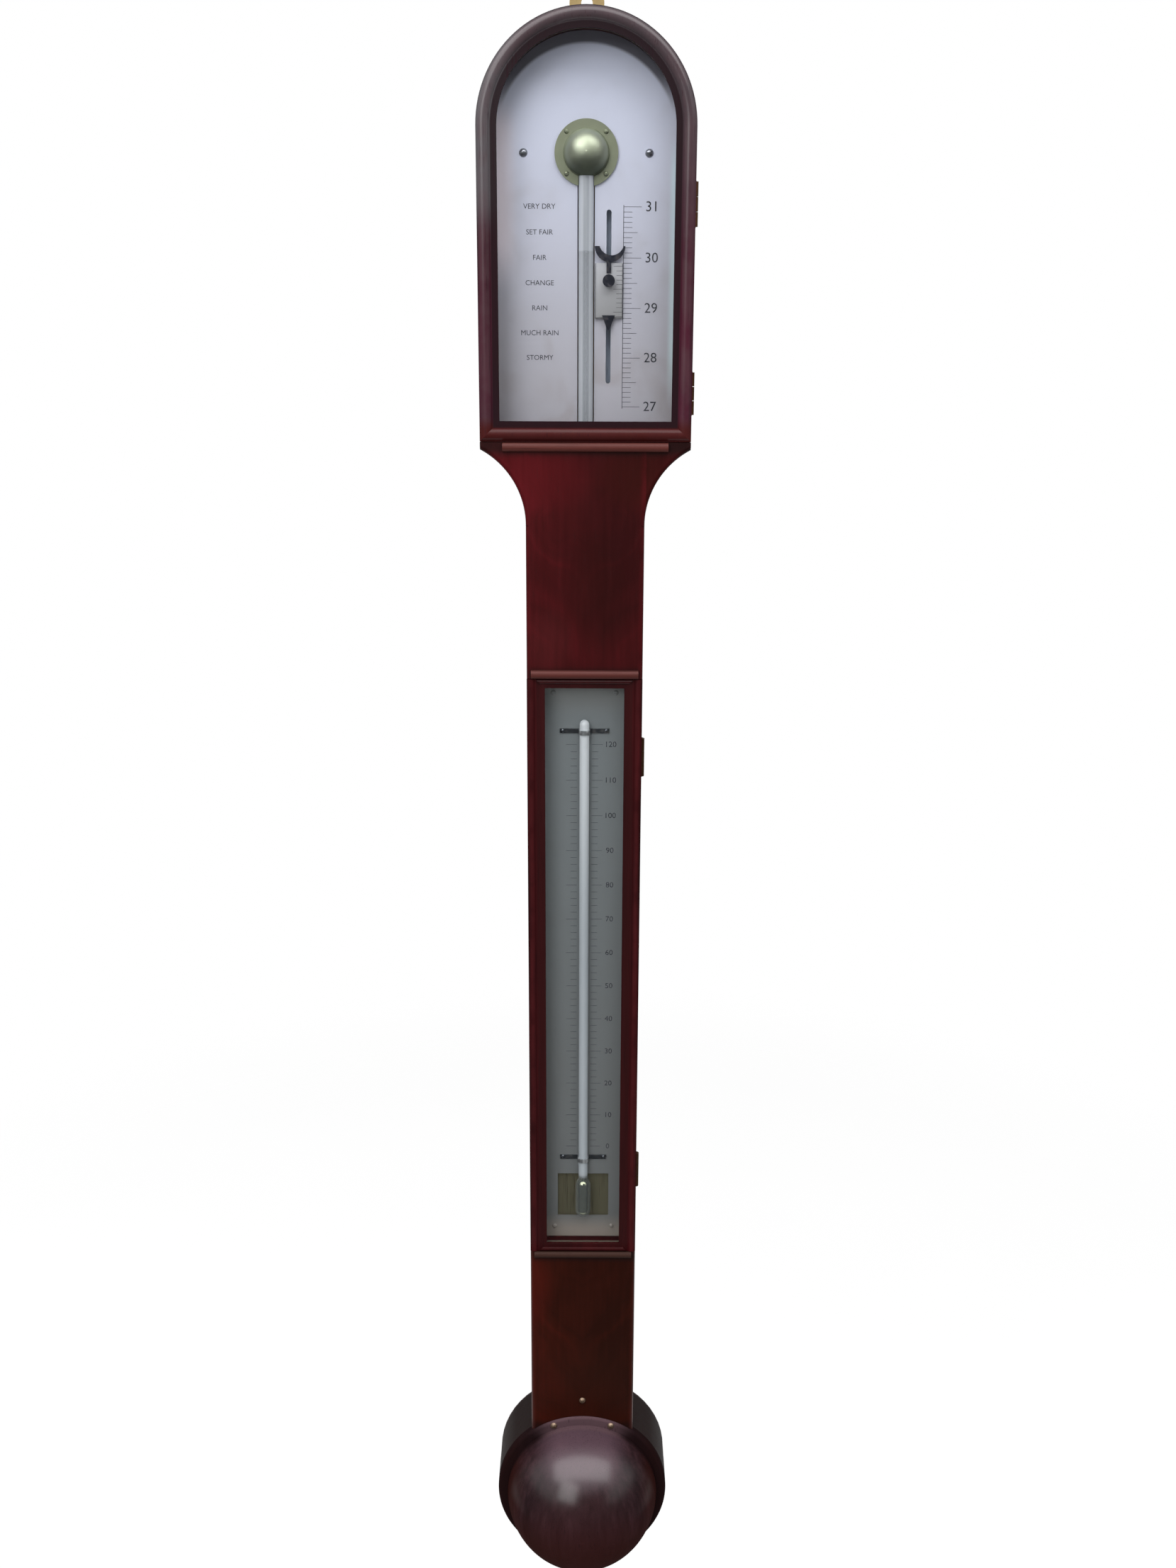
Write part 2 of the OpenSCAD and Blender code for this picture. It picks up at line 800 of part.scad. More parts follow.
// Block that runs in the slot, with a flange behind the register plate
module vernier_guide() {
    flange_front = backboard_t - door_gap;
    color("Goldenrod")
    difference() {
        union() {
            box(
                slot_x - slot_w / 2 + 0.1,
                slot_x + slot_w / 2 - 0.1,
                flange_front - guide_t,
                vernier_back_d,
                vernier_z - guide_half_h,
                vernier_z + guide_half_h
            );
            box(
                slot_x - guide_half,
                slot_x + guide_half,
                flange_front - guide_t,
                flange_front,
                vernier_z - guide_half_h,
                vernier_z + guide_half_h
            );
        }
        on_front(slot_x, vernier_front_d, vernier_knob_z) round_hole(knob_pin_r, vernier_t + 0.6);
    }
}

// Bowed strip that presses the guide against the back of the register plate
module vernier_spring() {
    spring_t = 0.4;
    spring_half = 7.5;
    top_d = backboard_t - door_gap - guide_t;
    sag = top_d - guide_room_d - door_gap;
    bow_r = (spring_half * spring_half + sag * sag) / (2 * sag);
    color("DarkGoldenrod")
    translate([slot_x - 2.5, 0, vernier_z])
        rotate([90, 0, 90])
            linear_extrude(5)
                intersection() {
                    translate([-top_d + bow_r, 0])
                        difference() {
                            circle(r = bow_r);
                            circle(r = bow_r - spring_t);
                        }
                    translate([-top_d, -spring_half]) square([sag, 2 * spring_half]);
                }
}

// Barometer tube
module tube_section(r, z0, z1) {
    translate([0, z0]) square([r, z1 - z0 - r]);
    intersection() {
        translate([0, z1 - r]) circle(r = r);
        translate([0, z1 - r]) square([r, r]);
    }
}

module barometer_tube() {
    color("LightCyan", 0.5)
    translate([0, -tube_d, 0])
        rotate_extrude()
            difference() {
                tube_section(tube_r, tube_foot_z, tube_top_z);
                tube_section(bore_r, tube_foot_z - 1, tube_top_z - tube_r + bore_r);
            }
}

module mercury_column() {
    color("Gainsboro")
    translate([0, -tube_d, 0]) rotate_extrude() tube_section(bore_r - 0.02, tube_foot_z, reading_z);
}

cork_h = 16;
cork_drop = 40;
module tube_corks() {
    color("BurlyWood")
    for (z = [cove_z - cork_drop, foot_top_z - cork_drop])
        difference() {
            box(
                -channel_half + seat,
                channel_half - seat,
                cover_t + seat,
                tube_d,
                z - cork_h / 2,
                z + cork_h / 2
            );
            rod_z(0, tube_d, tube_r + fit, z - cork_h, z + cork_h);
        }
}

// Cistern
cistern_bore = cistern_r - cistern_wall;
cistern_foot_z = level_z - 18;
cistern_top_z = level_z + 14;
lid_t = 4;
module cistern_body() {
    color("Wheat")
    difference() {
        rod_z(0, tube_d, cistern_r, cistern_foot_z, cistern_top_z);
        rod_z(0, tube_d, cistern_bore, cistern_foot_z - 1, cistern_top_z + 1);
    }
}

module cistern_lid() {
    color("Wheat")
    difference() {
        union() {
            rod_z(0, tube_d, cistern_r, cistern_top_z, cistern_top_z + lid_t);
            rod_z(0, tube_d, cistern_bore - fit, cistern_top_z - lid_t, cistern_top_z + 1);
        }
        rod_z(0, tube_d, tube_r + fit, cistern_top_z - lid_t - 1, cistern_top_z + lid_t + 1);
    }
}

// Leather bag tied on below the body
bag_sag = 5;
bag_rise = 10;
bag_foot_z = cistern_foot_z - bag_sag - leather_t;
module bag_section(r, sag, top_z) {
    polygon([
        [0, cistern_foot_z - sag],
        [r * 0.55, cistern_foot_z - sag * 0.78],
        [r * 0.88, cistern_foot_z - sag * 0.32],
        [r, cistern_foot_z - 0.2],
        [r, top_z],
        [0, top_z]
    ]);
}

module cistern_leather() {
    color("Tan")
    translate([0, -tube_d, 0])
        rotate_extrude()
            difference() {
                bag_section(bag_r, bag_sag + leather_t, cistern_foot_z + bag_rise);
                bag_section(cistern_r + 0.02, bag_sag, level_z);
            }
}

module leather_binding() {
    color("Ivory")
    for (k = [0, 1, 2, 3])
        translate([0, -tube_d, cistern_foot_z + 3 + k * 2 * binding_r])
            rotate_extrude() translate([bag_r + binding_r, 0]) circle(r = binding_r * 0.98, $fn = 24);
}

module mercury_pool() {
    color("Gainsboro")
    difference() {
        translate([0, -tube_d, 0])
            rotate_extrude()
                intersection() {
                    bag_section(cistern_r - 0.05, bag_sag - 0.05, level_z);
                    union() {
                        translate([0, bag_foot_z]) square([cistern_r, cistern_foot_z - bag_foot_z]);
                        translate([0, bag_foot_z]) square([cistern_bore - 0.02, level_z - bag_foot_z]);
                    }
                }
        rod_z(0, tube_d, tube_r + 0.02, tube_foot_z, level_z + 1);
    }
}

// Portable screw
pad_top_z = bag_foot_z - door_gap;
pad_t = 3;
pad_r = cistern_bore - 2.5;
knob_top_z = bush_seat_z - bush_flange_t - screw_travel - 2;
knob_foot_z = knob_top_z - screw_knob_h;
module pressure_pad() {
    color("BurlyWood")
    difference() {
        rod_z(0, tube_d, pad_r, pad_top_z - pad_t, pad_top_z);
        rod_z(0, tube_d, screw_r * 0.6 + fit, pad_top_z - pad_t - 1, pad_top_z - 1);
    }
}

module screw_bush() {
    color("Goldenrod")
    difference() {
        union() {
            rod_z(0, tube_d, bush_flange_r, bush_seat_z - bush_flange_t, bush_seat_z);
            rod_z(0, tube_d, bush_r, bush_seat_z - 1, well_foot_z);
        }
        rod_z(0, tube_d, screw_r + fit, bush_seat_z - 10, well_foot_z + 1);
        bush_screw_set() round_hole(bush_screw_r, bush_screw_len);
    }
}

module bush_screws() {
    color("Goldenrod") bush_screw_set() round_screw(bush_screw_head_r, 0.8, bush_screw_r, bush_screw_len);
}

flutes = 20;
module portable_screw() {
    color("Goldenrod")
    difference() {
        union() {
            rod_z(0, tube_d, screw_r * 0.6, pad_top_z - pad_t - 0.5, pad_top_z - 1.1);
            rod_z(0, tube_d, screw_r, knob_top_z, pad_top_z - pad_t - fit);
            rod_z(0, tube_d, screw_knob_r, knob_foot_z, knob_top_z);
        }
        for (k = [0 : flutes - 1])
            translate([0, -tube_d, 0])
                rotate([0, 0, k * 360 / flutes])
                    rod_z(screw_knob_r + 0.3, 0, 0.8, knob_foot_z + 2, knob_top_z - 2);
    }
}

// Turned cover of the cistern
flange_edge_r = 2;
module cistern_cover() {
    color("SaddleBrown")
    difference() {
        turned(drum_z)
            difference() {
                union() {
                    translate([0, block_d]) square([drum_r, flange_t - flange_edge_r]);
                    translate([0, block_d]) square([drum_r - flange_edge_r, flange_t]);
                    translate([drum_r - flange_edge_r, flange_front_d - flange_edge_r])
                        circle(r = flange_edge_r);
                    dome_section(dome_r);
                }
                dome_section(dome_r - dome_wall);
                translate([0, block_d - 1]) square([dome_r - dome_wall, flange_t + 1]);
            }
        flange_screw_set() round_hole(flange_screw_r, flange_screw_len);
    }
}

module dome_section(r) {
    intersection() {
        translate([0, flange_front_d]) circle(r = r);
        translate([0, flange_front_d]) square([r + 1, r + 1]);
    }
}

module cistern_cover_screws() {
    color("Gold")
    flange_screw_set() round_screw(flange_screw_head_r, 1.4, flange_screw_r, flange_screw_len);
}

module trunk_stud() {
    color("Gold") on_front(0, trunk_d, stud_z) round_screw(stud_r, 1.5, stud_pin_r, stud_len);
}

// Thermometer
thermo_plate_front_d = seat_d - 0.4;
thermo_plate_back_d = thermo_plate_front_d - thermo_plate_t;
thermo_d = thermo_plate_front_d + thermo_tube_r + 0.1;
bulb_rise = 44.5;
bulb_top_z = thermo_foot_z + bulb_rise;
bulb_foot_z = bulb_top_z - bulb_len;
bulb_room_d = thermo_d - bulb_r - 0.35;
thermo_tube_drop = 25;
thermo_tube_top_z = thermo_top_z - thermo_tube_drop;
strap_drop = 32;
strap_rise = 57.5;
strap_z = [thermo_top_z - strap_drop, thermo_foot_z + strap_rise];
strap_t = 0.6;
strap_h = 2.6;
strap_pin_r = 0.6;
strap_pin_len = 2.4;
thermo_screw_r = 0.8;
thermo_screw_len = 2.8;
plate_margin = 3;
plate_screw_margin = 7;
module thermo_plate_outline(room) {
    half = thermo_plate_half + room;
    z0 = thermo_foot_z + plate_margin - room;
    z1 = thermo_top_z - plate_margin + room;
    translate([-half, z0]) square([2 * half, z1 - z0]);
}

module bulb_outline() {
    translate([-bulb_gap_w / 2, bulb_foot_z - 1.5]) square([bulb_gap_w, bulb_len + 3]);
}

module thermo_screw_set() {
    plate_rise = plate_margin + plate_screw_margin;
    for (s = [-1, 1])
        for (z = [thermo_foot_z + plate_rise, thermo_top_z - plate_rise])
            on_front(s * (thermo_plate_half - 5.5), thermo_plate_front_d, z) children();
}

module strap_pin_set() {
    for (z = strap_z)
        for (s = [-1, 1])
            on_front(s * (strap_w / 2 - 1.6), thermo_plate_front_d + strap_t, z) children();
}

module thermometer_plate() {
    color("DarkGray")
    difference() {
        slab(thermo_plate_back_d, thermo_plate_front_d)
            difference() {
                thermo_plate_outline(0);
                bulb_outline();
            }
        thermo_screw_set() round_hole(thermo_screw_r, thermo_screw_len);
        strap_pin_set() round_hole(strap_pin_r, strap_pin_len);
    }
}

module thermometer_plate_screws() {
    color("Goldenrod") thermo_screw_set() round_screw(1.5, 0.9, thermo_screw_r, thermo_screw_len);
}

// Glass outline in radius and height: a slim tube that swells into the bulb
module thermo_section(stem_r, big_r, foot_z, shoulder_z, top_z) {
    tube_section(stem_r, shoulder_z - 2 * big_r, top_z);
    tube_section(big_r, foot_z + big_r, shoulder_z);
    intersection() {
        translate([0, foot_z + big_r]) circle(r = big_r);
        translate([0, foot_z]) square([big_r, big_r]);
    }
}

thermo_bore_r = 0.7;
bulb_wall = 0.8;
module thermometer_tube() {
    color("LightCyan", 0.5)
    translate([0, -thermo_d, 0])
        rotate_extrude()
            difference() {
                thermo_section(thermo_tube_r, bulb_r, bulb_foot_z, bulb_top_z, thermo_tube_top_z);
                thermo_section(
                    thermo_bore_r,
                    bulb_r - bulb_wall,
                    bulb_foot_z + bulb_wall,
                    bulb_top_z - bulb_wall,
                    thermo_tube_top_z - 4
                );
            }
}

module thermometer_thread() {
    color("Gainsboro")
    translate([0, -thermo_d, 0])
        rotate_extrude()
            thermo_section(
                thermo_bore_r - 0.02,
                bulb_r - bulb_wall - 0.02,
                bulb_foot_z + bulb_wall + 0.02,
                bulb_top_z - bulb_wall - 0.02,
                bulb_top_z + (thermo_tube_top_z - bulb_top_z) * 0.5
            );
}

module thermometer_straps() {
    bow_r = thermo_tube_r + fit + strap_t;
    color("DarkGoldenrod")
    difference() {
        for (z = strap_z)
            post(z - strap_h / 2, z + strap_h / 2)
                difference() {
                    union() {
                        translate([-strap_w / 2, thermo_plate_front_d]) square([strap_w, strap_t]);
                        translate([0, thermo_d]) circle(r = bow_r);
                        translate([-bow_r, thermo_plate_front_d])
                            square([2 * bow_r, thermo_d - thermo_plate_front_d]);
                    }
                    translate([0, thermo_d]) circle(r = bow_r - strap_t);
                    translate([strap_t - bow_r, thermo_plate_front_d - 1])
                        square([2 * (bow_r - strap_t), thermo_d - thermo_plate_front_d + 1]);
                }
        strap_pin_set() round_hole(strap_pin_r, strap_pin_len);
    }
}

module strap_pins() {
    color("Goldenrod") strap_pin_set() round_screw(1.1, 0.5, strap_pin_r, strap_pin_len);
}

// Hinges
module hinge_case_leaves() {
    color("Goldenrod") at_all_hinges() hinge_leaf(true);
}

module hinge_pins() {
    color("DarkGoldenrod")
    at_all_hinges()
        translate([0, 0, -hinge_h / 2 - pin_over]) cylinder(r = pin_r, h = hinge_h + 2 * pin_over);
}

module hinge_case_screws() {
    color("DarkGoldenrod")
    at_all_hinges()
        hinge_screw_set(true)
            flush_screw(hinge_screw_head_r, hinge_screw_head_h, hinge_screw_r, case_hinge_screw_len);
}

module hinge_door_screws(side_x, heights) {
    color("DarkGoldenrod")
    at_hinges(side_x, heights)
        hinge_screw_set(false)
            flush_screw(hinge_screw_head_r, hinge_screw_head_h, hinge_screw_r, door_hinge_screw_len);
}

// Door frame section in distance from the outer edge and depth, with bead and glass rebate
module frame_section(w, round_r, top_d) {
    difference() {
        union() {
            translate([0, door_back_d]) square([w, lip_front_d - door_back_d]);
            translate([0, door_back_d]) square([2 * round_r, top_d - round_r - door_back_d]);
            translate([round_r, top_d - round_r]) circle(r = round_r);
        }
        translate([w - rebate_w, door_back_d - 1]) square([rebate_w + 1, lip_back_d - door_back_d + 1]);
    }
}

// Fillet of putty behind the glass
module putty_section(w) {
    x0 = w - rebate_w;
    polygon([[x0, glass_back_d - 2.4], [x0, glass_back_d], [w - 0.2, glass_back_d]]);
}

// Half ring of a section round the arch
module arch_ring(r, z) {
    translate([0, 0, z])
        rotate([90, 0, 0])
            rotate_extrude(angle = 180)
                translate([r, 0]) mirror([1, 0]) children();
}

// Rail of a section between uprights of width side, mitred to them, at a foot or turned over at a head
module mitred_rail(w, side, m, z, up) {
    z_in = up ? z + m : z - m;
    x_in = w / 2 - side;
    intersection() {
        translate([-w / 2, 0, z])
            mirror([0, 0, up ? 0 : 1])
                rotate([180, -90, 0]) linear_extrude(w) children();
        slab(0, 3 * trunk_d)
            polygon([[-x_in - m, z], [x_in + m, z], [x_in, z_in], [-x_in, z_in]]);
    }
}

// Both uprights of a section, cut to the rails' mitres at the foot and the head
module mitred_uprights(w, side, z0, z1, foot, head) {
    x_in = w / 2 - side;
    for (s = [0, 1])
        mirror([s, 0, 0])
            intersection() {
                translate([-w / 2, 0, 0]) post(z0, z1) children();
                slab(0, 3 * trunk_d)
                    polygon(concat(
                        [[-w / 2, z0]],
                        side > foot ? [[-x_in - foot, z0]] : [],
                        [[-x_in, z0 + foot], [-x_in, z1 - head]],
                        head > 0 && side > head ? [[-x_in - head, z1]] : [],
                        [[-w / 2, z1]]
                    ));
            }
}

hood_door_foot_z = neck_top_z + door_gap;
hood_bead_top_d = trunk_d + 1.5;
thermo_bead_top_d = trunk_d + 0.6;
module hood_members() {
    w = hood_frame_w;
    mitred_rail(hood_w, w, w, hood_door_foot_z, true) children();
    mitred_uprights(hood_w, w, hood_door_foot_z, arch_z, w, 0) children();
    arch_ring(hood_w / 2, arch_z) children();
}

module hood_door_frame() {
    color("Sienna")
    difference() {
        hood_members() frame_section(hood_frame_w, hood_bead_r, hood_bead_top_d);
        at_hinges(hood_w / 2, hood_hinge_z) hinge_bed(false);
    }
}

module hood_glass() {
    inset = hood_frame_w - rebate_w + seat;
    color("LightCyan", 0.3)
    slab(glass_back_d, glass_front_d) hood_outline(inset, hood_door_foot_z + inset);
}

module hood_putty() {
    color("Tan") hood_members() putty_section(hood_frame_w);
}

module hood_hinge_door_leaves() {
    color("Goldenrod") at_hinges(hood_w / 2, hood_hinge_z) hinge_leaf(false);
}

module hood_hinge_door_screws() {
    hinge_door_screws(hood_w / 2, hood_hinge_z);
}

module thermo_rails() {
    mitred_rail(trunk_w, thermo_frame_w, thermo_rail_w, thermo_foot_z, true) children();
    mitred_rail(trunk_w, thermo_frame_w, thermo_rail_w, thermo_top_z, false) children();
}

module thermo_stiles() {
    m = thermo_rail_w;
    mitred_uprights(trunk_w, thermo_frame_w, thermo_foot_z, thermo_top_z, m, m) children();
}

module thermometer_door_frame() {
    color("Sienna")
    difference() {
        union() {
            thermo_rails() frame_section(thermo_rail_w, thermo_rail_bead_r, thermo_bead_top_d);
            thermo_stiles() frame_section(thermo_frame_w, thermo_bead_r, thermo_bead_top_d);
        }
        at_hinges(trunk_w / 2, thermo_hinge_z) hinge_bed(false);
    }
}

module thermometer_glass() {
    inset_x = thermo_frame_w - rebate_w + seat;
    inset_z = thermo_rail_w - rebate_w + seat;
    color("LightCyan", 0.3)
    slab(glass_back_d, glass_front_d)
        translate([inset_x - trunk_w / 2, thermo_foot_z + inset_z])
            square([trunk_w - 2 * inset_x, thermo_door_h - 2 * inset_z]);
}

module thermometer_putty() {
    color("Tan") {
        thermo_rails() putty_section(thermo_rail_w);
        thermo_stiles() putty_section(thermo_frame_w);
    }
}

module thermometer_hinge_door_leaves() {
    color("Goldenrod") at_hinges(trunk_w / 2, thermo_hinge_z) hinge_leaf(false);
}

module thermometer_hinge_door_screws() {
    hinge_door_screws(trunk_w / 2, thermo_hinge_z);
}

backboard();
head_rim();
neck_block();
thermometer_bed();
foot_block();
neck_panel();
foot_panel();
neck_bead();
upper_cross_bead();
lower_cross_bead();
back_cover();
back_cover_screws();
hanging_plate();
hanging_plate_screws();
register_plate();
register_screws();
tube_boss();
boss_screws();
barometer_tube();
mercury_column();
tube_corks();
cistern_body();
cistern_lid();
cistern_leather();
leather_binding();
mercury_pool();
screw_bush();
bush_screws();
cistern_cover();
cistern_cover_screws();
trunk_stud();
thermometer_plate();
thermometer_plate_screws();
thermometer_tube();
thermometer_thread();
thermometer_straps();
strap_pins();
hinge_case_leaves();
hinge_pins();
hinge_case_screws();
hood_door_frame();
hood_glass();
hood_putty();
hood_hinge_door_leaves();
hood_hinge_door_screws();
thermometer_door_frame();
thermometer_glass();
thermometer_putty();
thermometer_hinge_door_leaves();
thermometer_hinge_door_screws();
vernier_plate();
vernier_pointer();
vernier_knob();
vernier_guide();
vernier_spring();
pressure_pad();
portable_screw();
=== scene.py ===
# Stick barometer: an arched mahogany case with a silvered register behind the hood door, a thermometer
# behind a second door in the trunk, and a boxwood cistern under a turned cover at the foot.
import math

import bpy
from mathutils import Matrix, Vector


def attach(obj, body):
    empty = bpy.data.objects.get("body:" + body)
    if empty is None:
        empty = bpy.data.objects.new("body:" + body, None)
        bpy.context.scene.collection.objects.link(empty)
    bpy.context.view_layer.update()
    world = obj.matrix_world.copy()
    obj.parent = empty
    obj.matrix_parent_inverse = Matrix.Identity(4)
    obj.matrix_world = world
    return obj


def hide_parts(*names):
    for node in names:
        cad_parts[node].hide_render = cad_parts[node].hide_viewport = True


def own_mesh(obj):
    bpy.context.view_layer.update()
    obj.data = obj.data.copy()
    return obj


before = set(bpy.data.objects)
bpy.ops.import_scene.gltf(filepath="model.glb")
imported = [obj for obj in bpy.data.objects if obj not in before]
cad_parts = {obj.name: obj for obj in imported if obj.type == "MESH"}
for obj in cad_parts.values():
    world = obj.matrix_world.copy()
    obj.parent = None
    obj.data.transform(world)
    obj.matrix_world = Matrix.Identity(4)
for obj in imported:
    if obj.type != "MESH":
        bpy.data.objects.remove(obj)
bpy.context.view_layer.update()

# Carcase. One long board of mahogany carries everything, with the head rim, neck block, thermometer bed
# and foot block glued to its front. It is French polished and rubbed at the trunk's edges, where a painted
# highlight also lightens it. Painted shade darkens the round foot, which is dull, and the channel behind
# the register is painted pale grey as painted light in its shade.


class Field:
    """A socket of a finish: sums written with it add their Math nodes."""

    def __init__(self, socket):
        self.socket = socket

    def node(self, kind, settings, sockets, out=0):
        """Adds a node with its settings, then the values or links of its sockets."""
        tree = self.socket.id_data
        made = tree.nodes.new(kind)
        for key, value in settings.items():
            if key == "stops":
                ends = made.color_ramp.elements
                ends[0].position, ends[0].color = value[0]
                ends[1].position, ends[1].color = value[-1]
                for at, colour in value[1:-1]:
                    ends.new(at).color = colour
            else:
                setattr(made, key, value)
        for key, value in sockets.items():
            if isinstance(value, Field):
                tree.links.new(value.socket, made.inputs[key])
            else:
                made.inputs[key].default_value = value
        return Field(made.outputs[out]) if made.outputs else None

    def math(self, operation, first, second=0.0):
        return self.node("ShaderNodeMath", {"operation": operation}, {0: first, 1: second})

    def __add__(self, other):
        return self.math("ADD", self, other)

    def __sub__(self, other):
        return self.math("SUBTRACT", self, other)

    def __rsub__(self, other):
        return self.math("SUBTRACT", other, self)

    def __mul__(self, other):
        return self.math("MULTIPLY", self, other)

    def __abs__(self):
        return self.math("ABSOLUTE", self)

    __radd__ = __add__
    __rmul__ = __mul__

    def axis(self, which):
        return self.node("ShaderNodeSeparateXYZ", {}, {"Vector": self}, which)

    x = property(lambda self: self.axis(0))
    y = property(lambda self: self.axis(1))
    z = property(lambda self: self.axis(2))

    def ease(self, start, end):
        """A smooth rise from 0 at start to 1 at end, whichever of them is the higher."""
        return self.node(
            "ShaderNodeMapRange",
            {"interpolation_type": "SMOOTHSTEP"},
            {"Value": self, "From Min": start, "From Max": end},
        )

    def mix(self, bare, covered):
        """The bare colour where this is 0, the covered one where it is 1."""
        return self.node("ShaderNodeMix", {"data_type": "RGBA"}, {0: self, 6: bare, 7: covered}, 2)

    def noise(self, scale, detail=3.0, stretch=(1, 1, 1), warp=0.0):
        laid = self.node("ShaderNodeMapping", {}, {"Vector": self, "Scale": stretch})
        return self.node(
            "ShaderNodeTexNoise", {}, {"Vector": laid, "Scale": scale, "Detail": detail, "Distortion": warp}
        )

    def ramp(self, *stops):
        return self.node("ShaderNodeValToRGB", {"stops": stops}, {"Fac": self})

    def relief(self, strength, depth):
        return self.node(
            "ShaderNodeBump", {}, {"Height": self, "Strength": strength, "Distance": depth}
        )


def new_finish(name):
    """An empty finish, and the place on the piece that its patterns are read at."""
    material = bpy.data.materials.new(name)
    material.use_nodes = True
    material.node_tree.nodes.clear()
    coords = material.node_tree.nodes.new("ShaderNodeTexCoord")
    return material, Field(coords.outputs["Object"])


def coat(place, sockets):
    """Closes a finish with one shader and its sockets."""
    surface = place.node("ShaderNodeBsdfPrincipled", {}, sockets)
    place.node("ShaderNodeOutputMaterial", {}, {"Surface": surface})


def stain(red, green, blue):
    """A colour in 0 to 255, made linear for the shader."""
    tones = [c / 255 for c in (red, green, blue)]
    return tuple(t / 12.92 if t < 0.04045 else ((t + 0.055) / 1.055) ** 2.4 for t in tones) + (1.0,)


def dress(material, *nodes):
    """Gives a finish to nodes of the frame, by name."""
    for node in nodes:
        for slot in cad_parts[node].material_slots:
            slot.material = material


def lay_over(place, colour, rough, layers):
    """Lays masks over a finish, each with its colour, the share of it and how dull it is."""
    for mask, over, share, dull in layers:
        covered = mask(place)
        colour = (covered * share).mix(colour, over)
        rough = rough + covered * dull
    return colour, rough


def mahogany(name, tones, gloss, layers, grain=(1, 1, 0.045), shine=0.22, polish=None):
    """Three stains from dark to light under their layers, with a rubbed polish where a mask gives it."""
    material, place = new_finish(name)
    dark, middle, light = tones
    cloud = place.noise(38, 3, grain, 0.8)
    streak = place.noise(330, 5, grain)
    pore = place.noise(1700, 2, tuple(g * 0.6 if g < 1 else g for g in grain)).ease(0.6, 0.74)
    tone = cloud * 0.7 + streak * 0.45 - 0.08
    colour = tone.ramp((0.32, dark), (0.5, middle), (0.7, light))
    rough = gloss + streak * 0.14 + pore * 0.12 + cloud * 0.06
    colour, rough = lay_over(place, colour, rough, layers)
    coat(
        place,
        {
            "Base Color": (pore * 0.55).mix(colour, dark),
            "Roughness": rough,
            "Normal": (streak * 0.3 - pore).relief(0.3, 0.00012),
            "Specular IOR Level": shine,
            "Coat Weight": polish(place) if polish else 0.0,
            "Coat Roughness": 0.24,
            "Coat IOR": 1.6,
        },
    )
    return material


trunk_half = 0.032
trunk_front = -0.0362
foot_head = -0.814
board_front = -0.018
channel_half = 0.0168


def case_arris(place):
    """Front edges of the trunk, where the polish is rubbed off in patches and a highlight is painted
    lighter.
    """
    out = abs(place.x)
    within = out.ease(trunk_half - 0.0035, trunk_half - 0.0002)
    edge = within * (1 - out.ease(trunk_half + 0.0002, trunk_half + 0.001))
    return edge * place.y.ease(trunk_front + 0.0022, trunk_front) * place.noise(70, 3).ease(0.25, 0.6)


def drum_shade(place):
    """The round foot, apart from its flat back, painted darker as shade."""
    return (1 - place.z.ease(foot_head - 0.012, foot_head)) * place.y.ease(-0.0003, -0.0016)


def grey_channel(place):
    """Walls and beds that are cut into the board for the tube and the vernier, painted pale grey as painted
    light in their shade.
    """
    cut = place.y.ease(board_front + 0.0001, board_front + 0.0005) * (1 - place.y.ease(-0.0012, -0.0006))
    across = 1 - abs(place.x).ease(channel_half, channel_half + 0.0007)
    return cut * across * place.z.ease(foot_head - 0.006, foot_head + 0.004)


def case_polish(place):
    return (0.35 - drum_shade(place) * 0.3) * (1 - grey_channel(place))


case_tones = stain(28, 10, 11), stain(48, 15, 15), stain(74, 25, 23)
dress(
    mahogany(
        "case_mahogany",
        case_tones,
        0.32,
        [
            (case_arris, stain(78, 28, 26), 0.6, 0.05),
            (drum_shade, stain(25, 15, 14), 0.95, 0.3),
            (grey_channel, stain(176, 186, 202), 1.0, 0.3),
        ],
        shine=0.06,
        polish=case_polish,
    ),
    "backboard",
    "head_rim",
    "neck_block",
    "foot_block",
)

hollow_half = 0.0162
hollow_foot = -0.689
hollow_head = -0.6575


def bulb_hollow(place):
    """The hollow behind the thermometer's bulb, left bare, and painted lighter and olive as the bulb's
    reflection.
    """
    across = 1 - abs(place.x).ease(hollow_half - 0.0004, hollow_half + 0.0004)
    below = 1 - place.z.ease(hollow_head - 0.0007, hollow_head)
    return across * below * place.z.ease(hollow_foot, hollow_foot + 0.001)


dress(
    mahogany("bed_mahogany", case_tones, 0.36, [(bulb_hollow, stain(88, 86, 68), 0.85, 0.3)]),
    "thermometer_bed",
)
